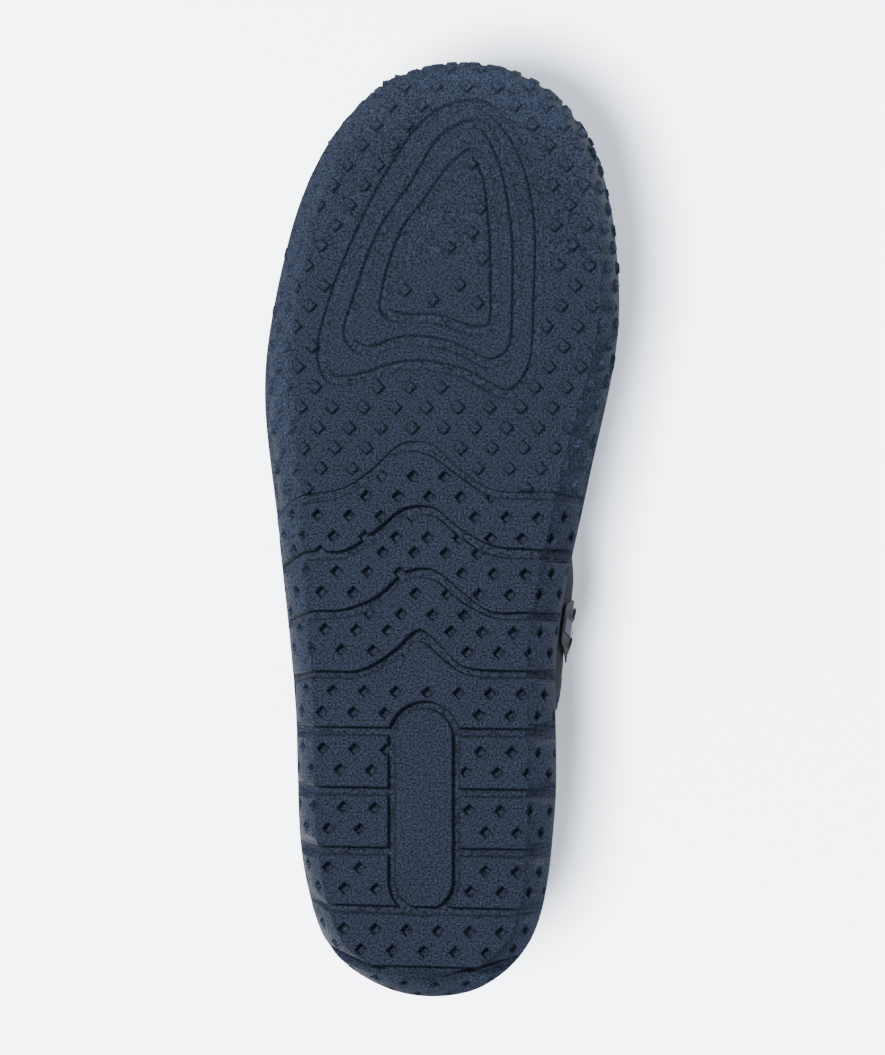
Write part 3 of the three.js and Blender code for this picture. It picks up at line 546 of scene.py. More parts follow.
def foxing_height(y):
    low_or_toe = FOXING_SIDE + (FOXING_TOE - FOXING_SIDE) * smooth(80, 128, y)
    return low_or_toe + (FOXING_HEEL - low_or_toe) * (1 - smooth(-126, -82, y))


class SoleWall:
    """The sole's side, from the bottom edge line up to the rim, one profile to each station."""

    def __init__(self, face):
        outline = face.outline
        insets = outline[:, 2]
        count = len(outline)
        rings = [at_height(inwards(outline, insets * share), z)
                 for share, z in ((1, 0), (0.5, 4), (0.14, 9), (0, 14))]
        top = foxing_height(outline[:, 1])
        base = WIDEST_HEIGHT + lift(outline[:, 1])
        top = np.maximum(top, base + 1)
        for share, distance in ((0.55, GAP + FOXING), (1, GAP + FOXING_RIM)):
            z = base + (top - base) * share
            rings.append(np.array([face.on(k, z[k], distance) for k in range(count)]))
        self.top = top
        self.rim_inner = np.array([face.on(k, top[k] - 0.1, GAP) for k in range(count)])
        self.low_inner = np.array([face.on(k, base[k] - 4, GAP) for k in range(count)])
        rings = np.array(rings)
        self.edge = rings[0]
        self.profiles = [spline(rings[:, k], 12) for k in range(count)]
        self.runs = [np.concatenate([[0], np.cumsum(np.linalg.norm(np.diff(p, axis=0), axis=1))])
                     for p in self.profiles]
        self.length = np.array([run[-1] for run in self.runs])
        self.step = 0.5
        want = np.arange(0, WALL_START + 1, self.step)
        self.table = np.array([[np.interp(want, run, p[:, i]) for i in range(3)]
                               for run, p in zip(self.runs, self.profiles)]).transpose(0, 2, 1)
        self.count = count

    def at(self, k, reach):
        return np.array([np.interp(reach, self.runs[k], self.profiles[k][:, i]) for i in range(3)])

    def look_up(self, station, reach):
        """Points of the wall at fractional stations and lengths up the wall."""
        k0 = np.floor(station).astype(int) % self.count
        k1, tk = (k0 + 1) % self.count, (station - np.floor(station))[:, None]
        row = np.clip(reach / self.step, 0, self.table.shape[1] - 1.001)
        r0 = np.floor(row).astype(int)
        tr = (row - r0)[:, None]
        low = self.table[k0, r0] * (1 - tk) + self.table[k1, r0] * tk
        high = self.table[k0, r0 + 1] * (1 - tk) + self.table[k1, r0 + 1] * tk
        return low * (1 - tr) + high * tr


def edge_position(points, edge):
    """Signed distance outwards from the bottom edge line, and the fractional station of each point."""
    best = np.full(len(points), 1e9)
    station = np.zeros(len(points))
    for k, (a, b) in enumerate(zip(edge, np.roll(edge, -1, 0))):
        along, away = b - a, points - a
        t = np.clip((away @ along) / (along @ along), 0, 1)
        d = np.linalg.norm(away - t[:, None] * along, axis=1)
        nearer = d < best
        best[nearer] = d[nearer]
        station[nearer] = k + t[nearer]
    inside = polygon_distance(points, edge) < 0
    return np.where(inside, -best, best), station


def sole_surface(points, wall, edge):
    reach, station = edge_position(points, edge)
    flat = np.column_stack([points, lift(points[:, 1])])
    return np.where(reach[:, None] > 0, wall.look_up(station, reach), flat), reach


def sole_mesh(face):
    """Vertices (mm) and faces of the whole outsole."""
    wall = SoleWall(face)
    edge = wall.edge[:, :2]
    pattern = SolePattern()
    outward = ring_normals(edge)
    boundary = edge + outward * WALL_START
    pitch = 0.36
    xs = np.arange(boundary[:, 0].min() - 1, boundary[:, 0].max() + 1, pitch)
    ys = np.arange(boundary[:, 1].min() - 1, boundary[:, 1].max() + 1, pitch)
    gx, gy = np.meshgrid(xs, ys)
    grid = np.column_stack([gx.ravel(), gy.ravel()])
    reach = edge_position(np.column_stack([gx[::6, ::6].ravel(), gy[::6, ::6].ravel()]), edge[::4])[0]
    reach = interpolate_grid(reach.reshape(gx[::6, ::6].shape), 6, gx.shape).ravel()
    cut, groove, stud = pattern.fields(grid, reach)
    lines = []
    for field, levels in ((cut, (0.25, 0, -0.4)), (groove, (0.15, -0.7)), (stud, (0.4, -0.25))):
        for level in levels:
            found = contour(field.reshape(gx.shape), xs, ys, level)
            lines += [simplify(line, 0.035) for line in found]
    lines = [line for line in lines if len(line) > 2]
    circle = np.linspace(0, 2 * math.pi, 36, endpoint=False)
    lines += [np.column_stack([GATE[0] + r * np.cos(circle), GATE[1] + r * np.sin(circle)])
              for r in (GATE[2] - 0.4, GATE[2], GATE[2] + 0.4)]
    lines += [boundary, edge]
    verts, edges = [], []
    for line in lines:
        start = len(verts)
        verts += [Vector(p) for p in line.tolist()]
        edges += [(start + i, start + (i + 1) % len(line)) for i in range(len(line))]
    spacing = 2.6
    fill = []
    for j, y in enumerate(np.arange(ys[0], ys[-1], spacing * 0.87)):
        fill += [(x + (j % 2) * spacing / 2, y) for x in np.arange(xs[0], xs[-1], spacing)]
    fill = np.array(fill)
    fill_reach = edge_position(fill, edge)[0]
    fields = pattern.fields(fill, fill_reach)
    free = np.min(np.abs(np.array(fields)), axis=0) > 0.75
    free &= (fill_reach < WALL_START - 0.8) & (np.abs(fill_reach) > 0.6)
    verts += [Vector(p) for p in fill[free].tolist()]
    flat, _, tris, *_ = delaunay_2d_cdt(verts, edges, [], 0, 1e-5)
    plan = np.array([tuple(v) for v in flat])
    tris = np.array(tris)
    middle = plan[tris].mean(1)
    tris = tris[polygon_distance(middle, boundary) < 0]
    eps = 0.05
    base, reach = sole_surface(plan, wall, edge)
    dx = sole_surface(plan + (eps, 0), wall, edge)[0] - sole_surface(plan - (eps, 0), wall, edge)[0]
    dy = sole_surface(plan + (0, eps), wall, edge)[0] - sole_surface(plan - (0, eps), wall, edge)[0]
    normals = unit(np.cross(dy, dx))
    depth = pattern.depth(plan, reach)
    points = base - normals * depth[:, None]
    faces = [tuple(t[::-1]) for t in tris]
    # The wall goes on from the pattern's border to the rim, over it and down inside.
    rows = 9
    rings = []
    for i in range(rows):
        share = i / (rows - 1)
        rings.append(np.array([wall.at(k, WALL_START + (wall.length[k] - WALL_START) * share)
                               for k in range(wall.count)]))
    crown = (rings[-1] + wall.rim_inner) / 2
    crown[:, 2] += 0.45
    rings += [crown, wall.rim_inner, wall.low_inner]
    start = len(points)
    points = np.vstack([points] + rings)
    faces += strips(len(rings), wall.count, offset=start)
    faces.append(tuple(range(len(points) - wall.count, len(points)))[::-1])
    return points, faces


def interpolate_grid(values, step, shape):
    """A coarse grid's values, taken at every step-th point, spread over the full grid."""
    rows, cols = np.arange(shape[0]) / step, np.arange(shape[1]) / step
    r0 = np.minimum(rows.astype(int), values.shape[0] - 2)
    c0 = np.minimum(cols.astype(int), values.shape[1] - 2)
    tr, tc = (rows - r0)[:, None], (cols - c0)[None, :]
    a, b = values[r0][:, c0], values[r0][:, c0 + 1]
    c, d = values[r0 + 1][:, c0], values[r0 + 1][:, c0 + 1]
    return (a * (1 - tc) + b * tc) * (1 - tr) + (c * (1 - tc) + d * tc) * tr


# ------------------------------------------------------------------ soft shell of the upper
VAMP_SEAM = [(-14, -20), (-10, 15), (3, 38), (22, 58), (40, 82), (52, 120)]
VAMP_LINE = spline(VAMP_SEAM, 12)
BINDING_WIDTH, BINDING_THICKNESS = 11, 1.2
SLOT_HALF = 7.5


def line_distance(points, line):
    """Signed distance in side view (y, z) from an open line, positive ahead of it."""
    best = np.full(len(points), 1e9)
    for a, b in zip(line[:-1], line[1:]):
        along, away = b - a, points - a
        t = np.clip((away @ along) / (along @ along), 0, 1)
        best = np.minimum(best, np.linalg.norm(away - t[:, None] * along, axis=1))
    ahead = points[:, 0] > np.interp(points[:, 1], line[:, 1], line[:, 0])
    return np.where(ahead, best, -best)


def soft_relief(points):
    """How far the neoprene stands off its plain shape: seam valleys with puckers, and ankle folds."""
    x, y, z = points.T
    s, h, _ = in_zip(points)
    by_zip = np.where(x < 0, np.abs(s) + np.clip(-2 - h, 0, None), 99)
    vamp = line_distance(points[:, 1:], VAMP_LINE)
    back = np.where(y < -60, np.abs(x), 99)
    relief = np.zeros(len(points))
    for seam, run in ((vamp, z + 0.6 * np.abs(x)), (back, z)):
        pucker = 1 + 0.22 * np.sin(run * 1.1) + 0.12 * np.sin(run * 2.7)
        relief += -0.95 * np.exp(-(seam / 1.5) ** 2)
        relief += 0.32 * pucker * np.exp(-((np.abs(seam) - 4.6) / 2.4) ** 2)
    front = smooth(-28, 12, y)
    fold = np.cos((z + 0.32 * np.abs(x) - 84) / 12.5 * 2 * math.pi)
    relief += 0.75 * front * fold * np.exp(-((z - 97) / 17) ** 2)
    rear = 1 - smooth(-108, -84, y)
    fold = np.cos((z - 0.22 * np.abs(x) - 76) / 11 * 2 * math.pi)
    relief += 0.5 * rear * fold * np.exp(-((z - 84) / 13) ** 2)
    relief += 0.3 * np.sin(z * 0.09 + y * 0.07) * np.sin(x * 0.11 + y * 0.045 + 1)
    keep = smooth(16, 26, by_zip) * smooth(1, 8, z - foxing_height(y)) * (1 - smooth(140, 153, z))
    edge = -0.45 * np.exp(-((by_zip - SLOT_HALF) / 1.3) ** 2) * (h > -4) * (z < 150)
    return relief * keep + edge


class Upper:
    def __init__(self, segments):
        self.face = Face(segments, 8)
        grid = self.face.grid
        self.relief = soft_relief(grid.reshape(-1, 3)).reshape(grid.shape[:2])
        self.segments = segments
        self.rows = grid.shape[0]

    def skin(self, distance, soft=False):
        moved = self.face.at(distance)
        if soft:
            moved = moved + self.face.normals * self.relief[..., None]
        return moved

    def layer(self, name, inner, outer, soft=False):
        """A closed shell between two distances from the plain face; outside slot 0, inside slot 1."""
        rings = np.concatenate([self.skin(outer, soft), self.skin(inner, soft)[::-1]])
        count = len(rings)
        faces = strips(count, self.segments, flip=False)
        last = (count - 1) * self.segments
        for k in range(self.segments):
            n = (k + 1) % self.segments
            faces.append((last + k, last + n, n, k))
        obj = new_object(name, rings.reshape(-1, 3), faces, SHARED["neoprene"])
        obj.data.materials.append(SHARED["lining"])
        inside = np.zeros(len(faces), np.int32)
        inside[(self.rows) * self.segments:(count - 1) * self.segments] = 1
        obj.data.polygons.foreach_set("material_index", inside)
        return obj

    def over(self, points, distance=0.0):
        """Puts points near the upper onto its soft face: positions and normals."""
        if not hasattr(self, "tree"):
            flat = self.skin(0, soft=True).reshape(-1, 3)
            quads = strips(self.rows, self.segments)
            self.tree = BVHTree.FromPolygons([tuple(p) for p in flat], quads)
        places, normals = [], []
        for point in points:
            place_at, normal, _, _ = self.tree.find_nearest(Vector(point))
            outward = Vector((place_at.x - 1, place_at.y + 50 if place_at.y < -60 else 0, 0))
            if normal.dot(outward) < 0 and abs(normal.z) < 0.7:
                normal = -normal
            if normal.z < -0.3:
                normal = -normal
            places.append(np.array(place_at + normal * distance))
            normals.append(np.array(normal))
        return np.array(places), np.array(normals)


def settle(obj):
    """Makes what the modifiers do part of the mesh."""
    graph = bpy.context.evaluated_depsgraph_get()
    mesh = bpy.data.meshes.new_from_object(obj.evaluated_get(graph))
    obj.modifiers.clear()
    old, obj.data = obj.data, mesh
    bpy.data.meshes.remove(old)


def combine(base, cutter, operation):
    """A boolean of two closed meshes, done on the spot; the cutter goes."""
    modifier = base.modifiers.new("cut", "BOOLEAN")
    modifier.operation, modifier.object, modifier.solver = operation, cutter, "MANIFOLD"
    settle(base)
    bpy.data.objects.remove(cutter)
    return base


def copy_of(obj, name):
    twin = obj.copy()
    twin.data = obj.data.copy()
    twin.name = name
    bpy.context.scene.collection.objects.link(twin)
    return twin


def prism(name, outline, low, high, frame_of=None):
    """An extruded outline; frame_of turns its (a, b, c) coordinates into x, y, z."""
    outline = np.asarray(outline, float)
    count = len(outline)
    points = np.vstack([np.column_stack([outline, np.full(count, c)]) for c in (low, high)])
    if frame_of:
        points = frame_of(points)
    faces = [tuple(range(count))[::-1], tuple(range(count, 2 * count))]
    faces += [(i, (i + 1) % count, count + (i + 1) % count, count + i) for i in range(count)]
    obj = new_object(name, points, faces, SHARED["neoprene"])
    mend(obj.data)
    return obj


def side_view(points):
    return points[:, [2, 0, 1]]


def zip_prism(name, outline, low, high):
    return prism(name, outline, low, high, from_zip)


def zip_block(name, s, h, w=(-60, 60)):
    return zip_prism(name, [(s[0], h[0]), (s[1], h[0]), (s[1], h[1]), (s[0], h[1])], *w)


def soften(obj, angle=38):
    obj.data.shade_smooth()
    obj.data.set_sharp_from_angle(angle=math.radians(angle))
    return obj


def build_panels(upper):
    far = 300
    shell = upper.layer("upper_shell", -NEOPRENE, 0, soft=True)

    def region(shift):
        outline = [(y + shift, z) for y, z in VAMP_LINE.tolist()] + [(220, 120), (220, -20)]
        return prism("cutter", outline, -90, 90, side_view)

    def half(low, high):
        return prism("cutter", [(low, -far), (high, -far), (high, far), (low, far)], -far, far)

    vamp = combine(copy_of(shell, "vamp_panel"), region(GAP / 2), "INTERSECT")
    combine(shell, region(-GAP / 2), "DIFFERENCE")
    lateral = combine(copy_of(shell, "lateral_panel"), half(GAP / 2, far), "INTERSECT")
    combine(shell, half(-far, -GAP / 2), "INTERSECT")
    combine(shell, zip_block("cutter", (-SLOT_HALF, SLOT_HALF), (0, far)), "DIFFERENCE")
    front = combine(copy_of(shell, "medial_front_panel"), zip_block("cutter", (-far, -GAP / 2), (-far, far),
                                                                   (-far, far)), "INTERSECT")
    rear = combine(copy_of(shell, "medial_rear_panel"), zip_block("cutter", (GAP / 2, far), (-far, far),
                                                                 (-far, far)), "INTERSECT")
    bpy.data.objects.remove(shell)
    for obj, node in ((vamp, "vamp"), (lateral, "lateral_quarter"), (front, "medial_front_quarter"),
                      (rear, "medial_rear_quarter")):
        soften(obj)
        place(obj, BOOT, [node])


# ------------------------------------------------------------------ collar binding
def build_binding(upper):
    face = upper.face
    clear, out, skin = 0.6, 0.6 + BINDING_THICKNESS, -NEOPRENE
    low, high = COLLAR_HEIGHT - BINDING_WIDTH, COLLAR_HEIGHT
    section = [(clear, low), (out - 0.2, low + 0.05), (out, low + 0.8), (out + 0.05, low + 3),
               (out - 0.1, low + 5),
               (out, low + 8), (out - 0.1, high - 0.4), (out - 0.9, high + 1.1), (-0.4, high + out),
               (skin + 0.4, high + out), (skin - out + 0.9, high + 1.1), (skin - out + 0.1, high - 0.4),
               (skin - out, low + 8), (skin - out + 0.1, low + 5), (skin - out - 0.05, low + 3),
               (skin - out, low + 0.8), (skin - out + 0.2, low + 0.05), (skin - clear, low),
               (skin - clear, high + GAP), (clear, high + GAP)]
    rings = []
    top = face.grid[-1]
    wave = np.sin(np.arange(upper.segments) / upper.segments * 2 * math.pi * 86)
    for i, (off, z) in enumerate(section):
        pucker = 0.09 * wave * (low + 1.5 < z < low + 9) * (1 if off > 0 else -1)
        distance = off + pucker
        if z < high:
            ring = np.array([face.on(k, z, 0) for k in range(upper.segments)])
        else:
            ring = np.column_stack([top[:, :2], np.full(upper.segments, z)])
        rings.append(ring + face.normals[-1] * distance[:, None])
    points = np.concatenate(rings)
    faces = strips(len(rings), upper.segments)
    last = (len(rings) - 1) * upper.segments
    faces += [(last + k, last + (k + 1) % upper.segments, (k + 1) % upper.segments, k)
              for k in range(upper.segments)]
    obj = new_object("collar_tape", points, faces, SHARED["binding"])
    mend(obj.data)
    combine(obj, zip_block("cutter", (-SLOT_HALF, SLOT_HALF), (0, 300)), "DIFFERENCE")
    place(soften(obj, 50), BOOT, ["collar_binding"])


# ------------------------------------------------------------------ threads
class Threads:
    """Many short bends of thread in one mesh."""

    def __init__(self):
        self.points, self.faces = [], []

    def tube(self, path, radius, sides=6, closed_ends=True):
        path = np.asarray(path, float)
        tangent = unit(np.gradient(path, axis=0))
        helper = np.tile([0.0, 0.0, 1.0], (len(path), 1))
        helper[np.abs(tangent[:, 2]) > 0.9] = (1, 0, 0)
        a = unit(np.cross(tangent, helper))
        b = np.cross(tangent, a)
        radius = np.broadcast_to(radius, len(path))[:, None]
        start = len(self.points)
        turn = np.linspace(0, 2 * math.pi, sides, endpoint=False)
        rings = np.stack([path + (a * math.cos(t) + b * math.sin(t)) * radius for t in turn], 1)
        self.points += rings.reshape(-1, 3).tolist()
        self.faces += strips(len(path), sides, offset=start)
        if closed_ends:
            last = start + (len(path) - 1) * sides
            self.faces += [tuple(range(start, start + sides))[::-1], tuple(range(last, last + sides))]

    def finish(self, name, material, body, slot):
        obj = new_object(name, self.points, self.faces, material, smooth_angle=180)
        return place(obj, body)


def even(points, normals, step):
    run = np.concatenate([[0], np.cumsum(np.linalg.norm(np.diff(points, axis=0), axis=1))])
    want = np.arange(0, run[-1], step)
    spread = [np.stack([np.interp(want, run, values[:, i]) for i in range(3)], 1)
              for values in (points, normals)]
    return spread[0], unit(spread[1])


def zigzag(threads, points, normals, width, pitch=2.4, radius=0.27, slant=0.0):
    """Flat seam stitching: slanted threads from one side of the seam to the other."""
    line, up = even(points, normals, pitch)
    across = unit(np.cross(unit(np.gradient(line, axis=0)), up))
    along = unit(np.gradient(line, axis=0))
    for i in range(len(line) - 1):
        for side, a, b in ((1, i, i), (-1, i, i + 1)):
            start = line[a] + across[a] * width * side
            end = line[b] - across[b] * width * side
            if side == 1:
                end = end + along[a] * pitch * (0.5 + slant)
            else:
                start = line[a] + along[a] * pitch * (0.5 + slant) - across[a] * width
                end = line[b] + across[b] * width
            lift_at = [0.02, 0.34, 0.42, 0.34, 0.02]
            path = [start + (end - start) * t + up[a] * z for t, z in zip((0, 0.2, 0.5, 0.8, 1), lift_at)]
            threads.tube(path, radius, 5)


def running(threads, points, normals, pitch=3.0, radius=0.24, lift_by=0.0):
    """A row of plain stitches with small gaps."""
    line, up = even(points, normals, pitch)
    for i in range(len(line) - 1):
        step = line[i + 1] - line[i]
        path = [line[i] + step * t + up[i] * (z + lift_by)
                for t, z in ((0.06, -0.1), (0.2, 0.16), (0.5, 0.2),
                                                                       (0.8, 0.16), (0.94, -0.1))]
        threads.tube(path, radius, 5)


def vamp_seam_points(upper, shift=0.0):
    """The seam behind the vamp, found on each meridian from the inner side over the instep."""
    grid = upper.face.grid
    found = []
    half = upper.segments // 2
    for k in list(range(half + 40, upper.segments)) + list(range(0, half - 40)):
        column = grid[:, k]
        ahead = line_distance(column[:, 1:], VAMP_LINE) - shift
        turns = np.nonzero((ahead[:-1] > 0) & (ahead[1:] <= 0))[0]
        if len(turns):
            r = turns[0]
            t = ahead[r] / (ahead[r] - ahead[r + 1])
            point = column[r] * (1 - t) + column[r + 1] * t
            if point[2] > foxing_height(point[1]) + 1.5:
                found.append(point)
    return smooth_line(np.array(found))


def smooth_line(points, rounds=3):
    for _ in range(rounds):
        points[1:-1] = points[:-2] * 0.25 + points[1:-1] * 0.5 + points[2:] * 0.25
    return points


def build_stitches(upper):
    seams = Threads()
    points, normals = upper.over(vamp_seam_points(upper))
    zigzag(seams, points, normals, 2.3)
    heights = np.arange(FOXING_HEEL + 20, COLLAR_HEIGHT - BINDING_WIDTH - 1, 1.5)
    heights = heights[heights < LOOP_LOW - 2]
    back = np.array([upper.face.on(upper.segments // 2, z, 0) for z in heights])
    zigzag(seams, *upper.over(back), 2.3)
    seams.finish("seam_threads", SHARED["dark_thread"], BOOT, "neoprene")
    rows = Threads()
    for s in (-10, -12.2, 10, 12.2):
        line = from_zip([(s, h, 0) for h in np.arange(6, 112, 2.0)])
        points, normals = upper.over(line)
        running(rows, points, normals)
    face = upper.face
    for off, inner in ((0.6 + BINDING_THICKNESS + 0.06, False),
                       (-NEOPRENE - 0.6 - BINDING_THICKNESS - 0.06, True)):
        line = np.array([face.on(k, COLLAR_HEIGHT - BINDING_WIDTH + 2.2, off)
                         for k in range(upper.segments)])
        normal = face.normals[-1] * (-1 if inner else 1)
        s, h, _ = in_zip(line)
        keep = ~((np.abs(s) < SLOT_HALF + 1.5) & (line[:, 0] < 0))
        first = int(np.argmin(keep)) if not keep.all() else 0
        order = [(first + i) % upper.segments for i in range(upper.segments)]
        order = [k for k in order if keep[k]]
        running(rows, line[order], normal[order], pitch=3.2)
    rows.finish("row_threads", SHARED["dark_thread"], BOOT, "neoprene")


# ------------------------------------------------------------------ zip
TAPE_TOP = -NEOPRENE - GAP
TAPE_HALF, TAPE_THICKNESS = 15, 0.8
TAPE_BOTTOM = TAPE_TOP - TAPE_THICKNESS
TEETH_LOW, TOOTH_THICKNESS = TAPE_TOP + GAP, 2.6
TEETH_HIGH = TEETH_LOW + TOOTH_THICKNESS
TOOTH_PITCH, TOOTH_REACH = 3.4, 3.4
CHAIN_START, CHAIN_END = 5, ZIP_LENGTH - 6
TAPE_END = ZIP_LENGTH - 1
BELOW_BINDING = ZIP_LENGTH - BINDING_WIDTH - 8
GUSSET_HALF, GUSSET_THICKNESS = 21, 2
SLIDER_LENGTH, SLIDER_HALF, SLIDER_ROOF, STOP_LENGTH = 14, 5, 1.8, 3
SLIDER_TOP = CHAIN_END - STOP_LENGTH - 1
PLATE_LOW = TEETH_HIGH + GAP
PLATE_HIGH = PLATE_LOW + SLIDER_ROOF
PIVOT_H, PIVOT_W = SLIDER_TOP - SLIDER_LENGTH / 2, 2.8


class Blocks:
    """Rounded blocks and plates gathered into one mesh, in the zip's frame unless told otherwise."""

    def __init__(self, to_world=from_zip):
        self.points, self.faces, self.to_world = [], [], to_world

    def take(self, tool):
        tool.verts.ensure_lookup_table()
        tool.verts.index_update()
        bmesh.ops.recalc_face_normals(tool, faces=tool.faces)
        start = len(self.points)
        self.points += self.to_world([tuple(v.co) for v in tool.verts]).tolist()
        self.faces += [tuple(start + v.index for v in face.verts) for face in tool.faces]
        tool.free()

    def block(self, low, high, radius=0.3, segments=2):
        tool = bmesh.new()
        size = Vector(high) - Vector(low)
        bmesh.ops.create_cube(tool, size=1, matrix=Matrix.Translation((Vector(low) + Vector(high)) / 2)
                              @ Matrix.Diagonal((*size, 1)))
        bmesh.ops.bevel(tool, geom=tool.edges[:], offset=min(radius, min(size) * 0.45), segments=segments,
                        affect="EDGES", profile=0.5)
        self.take(tool)

    def plate(self, outline, low, high, radius=0.4, segments=3):
        """An outline in the first two coordinates, made thick in the third, with rounded rims."""
        tool = bmesh.new()
        count = len(outline)
        rings = [[tool.verts.new((*p, z)) for p in outline] for z in (low, high)]
        caps = [tool.faces.new(ring) for ring in rings]
        for i in range(count):
            j = (i + 1) % count
            tool.faces.new((rings[0][i], rings[0][j], rings[1][j], rings[1][i]))
        rims = list({edge for face in caps for edge in face.edges})
        bmesh.ops.bevel(tool, geom=rims, offset=radius, segments=segments, affect="EDGES", profile=0.5)
        self.take(tool)

    def sweep(self, path, across, half_wide, half_thick, power=4, sides=14):
        """A rounded strap or bar along a path, its wide side along a fixed direction."""
        path, across = np.asarray(path, float), np.asarray(across, float)
        tangent = unit(np.gradient(path, axis=0))
        out = unit(np.cross(tangent, across))
        turn = (np.arange(sides) + 0.5) / sides * 2 * math.pi
        c, s = np.cos(turn), np.sin(turn)
        shape = (np.abs(c) ** power + np.abs(s) ** power) ** (-1 / power)
        wide, thick = c * shape * half_wide, s * shape * half_thick
        rings = path[:, None] + across * wide[None, :, None] + out[:, None] * thick[None, :, None]
        start = len(self.points)
        self.points += self.to_world(rings.reshape(-1, 3)).tolist()
        self.faces += strips(len(path), sides, offset=start)
        last = start + (len(path) - 1) * sides
        self.faces += [tuple(range(start, start + sides))[::-1], tuple(range(last, last + sides))]

    def finish(self, name, material, body, slot, replaces=(), angle=40):
        obj = new_object(name, self.points, self.faces, material, smooth_angle=angle)
        mend(obj.data)
        return place(obj, body, replaces)


def zip_strip(name, low, high, start):
    """Full width up to the binding, and only as wide as the slit above that."""
    narrow = (max(low, GAP - SLOT_HALF), min(high, SLOT_HALF - GAP))
    outline = [(low, start), (high, start), (high, BELOW_BINDING), (narrow[1], BELOW_BINDING),
               (narrow[1], TAPE_END),
               (narrow[0], TAPE_END), (narrow[0], BELOW_BINDING), (low, BELOW_BINDING)]
    return zip_prism(name, outline, -22, 12)


def repaint(obj, *materials):
    obj.data.materials.clear()
    for material in materials:
        obj.data.materials.append(material)
    return obj


def build_zip_cloth(upper):
    for side, low, high in (("front", -TAPE_HALF, -0.6), ("rear", 0.6, TAPE_HALF)):
        tape = upper.layer("zip_cloth_" + side, TAPE_BOTTOM, TAPE_TOP)
        combine(tape, zip_strip("cutter", low, high, -3), "INTERSECT")
        repaint(tape, SHARED["tape"], SHARED["tape"])
        place(soften(tape), BOOT, ["zip_tape_" + side])
    high = TAPE_BOTTOM - GAP
    guard = upper.layer("zip_guard", high - GUSSET_THICKNESS, high)
    combine(guard, zip_strip("cutter", -GUSSET_HALF, GUSSET_HALF, -6), "INTERSECT")
    repaint(guard, SHARED["neoprene"], SHARED["lining"])
    place(soften(guard), BOOT, ["zip_gusset"])


def build_zip_teeth():
    rows = int((CHAIN_END - CHAIN_START) / TOOTH_PITCH)
    finger = (TOOTH_PITCH - 2 * GAP) / 2
    for name, side in (("front", -1), ("rear", 1)):
        row = Blocks()
        phase = 0 if side > 0 else TOOTH_PITCH / 2

        def along(a, b, h0, h1, w0, w1, radius, row=row, side=side):
            low, high = sorted((a * side, b * side))
            row.block((low, h0, w0), (high, h1, w1), radius)

        along(2.3, TOOTH_REACH, CHAIN_START, CHAIN_START + (rows + 0.5) * TOOTH_PITCH, TEETH_LOW,
              TEETH_HIGH - 0.9, 0.4)
        for i in range(rows):
            h = CHAIN_START + phase + i * TOOTH_PITCH
            along(0, TOOTH_REACH - 0.1, h + 0.08, h + finger - 0.08, TEETH_LOW + 0.1, TEETH_HIGH - 0.25,
                  0.3)
            along(-0.9, 0.5, h, h + finger, TEETH_LOW, TEETH_HIGH, 0.38)
            along(2.2, TOOTH_REACH, h - 0.5, h + finger + 0.5, TEETH_LOW, TEETH_HIGH - 0.1, 0.42)
        row.finish("zip_row_" + name, SHARED["plastic"], BOOT, "zip_plastic", ["zip_teeth_" + name])
        stop = Blocks()
        low, high = sorted((0.4 * side, TOOTH_REACH * side))
        stop.block((low, CHAIN_END + TOOTH_PITCH / 2 + GAP - 1, TEETH_LOW),
                   (high, CHAIN_END + STOP_LENGTH, TEETH_HIGH),
                   0.5, 3)
        stop.finish("zip_stop_" + name, SHARED["plastic"], BOOT, "zip_plastic", ["zip_top_stop_" + name])
    foot = Blocks()
    foot.block((-TOOTH_REACH, CHAIN_START - GAP - STOP_LENGTH - 1, TEETH_LOW),
               (TOOTH_REACH, CHAIN_START - GAP, TEETH_HIGH),
               0.6, 3)
    foot.finish("zip_stop_foot", SHARED["plastic"], BOOT, "zip_plastic", ["zip_bottom_stop"])


def build_zip_runner():
    bottom, middle = SLIDER_TOP - SLIDER_LENGTH, PIVOT_H
    body = Blocks()
    outline = [(-3.6, bottom), (3.6, bottom), (4.5, bottom + 1), (4.6, middle - 1), (5, middle + 3),
               (5, SLIDER_TOP - 1.6),
               (3.9, SLIDER_TOP - 0.3), (1.4, SLIDER_TOP), (0, SLIDER_TOP - 0.9), (-1.4, SLIDER_TOP),
               (-3.9, SLIDER_TOP - 0.3), (-5, SLIDER_TOP - 1.6), (-5, middle + 3), (-4.6, middle - 1),
               (-4.5, bottom + 1)]
    body.plate(outline, PLATE_LOW, PLATE_HIGH, 0.5)
    for side in (-1, 1):
        low, high = sorted((3.85 * side, SLIDER_HALF * side))
        body.block((low, bottom + 0.8, TEETH_LOW), (high, SLIDER_TOP - 1.2, PLATE_LOW + 0.6), 0.45, 3)
    body.block((-1.9, middle - 5.2, PLATE_HIGH - 0.4), (1.9, middle + 5.2, PLATE_HIGH + 0.35), 0.3)
    reach, rise = 3.35, 4.2
    corner = [(math.sin(t) * 1.5, math.cos(t) * 1.5) for t in np.linspace(0, math.pi / 2, 6)]
    arch = [(0, middle - reach, PLATE_HIGH - 0.2), (0, middle - reach, PLATE_HIGH + 1.2)]
    arch += [(0, middle - reach + 1.5 - b, PLATE_HIGH + rise - 1.5 + a) for a, b in corner]
    arch += [(0, middle + reach - 1.5 + b, PLATE_HIGH + rise - 1.5 + a) for a, b in reversed(corner)]
    arch += [(0, middle + reach, PLATE_HIGH + 1.2), (0, middle + reach, PLATE_HIGH - 0.2)]
    body.sweep(arch, (1, 0, 0), 1.0, 0.65, power=3)
    body.finish("slider_body", SHARED["plastic"], RUNNER, "zip_plastic", ["zip_slider"])


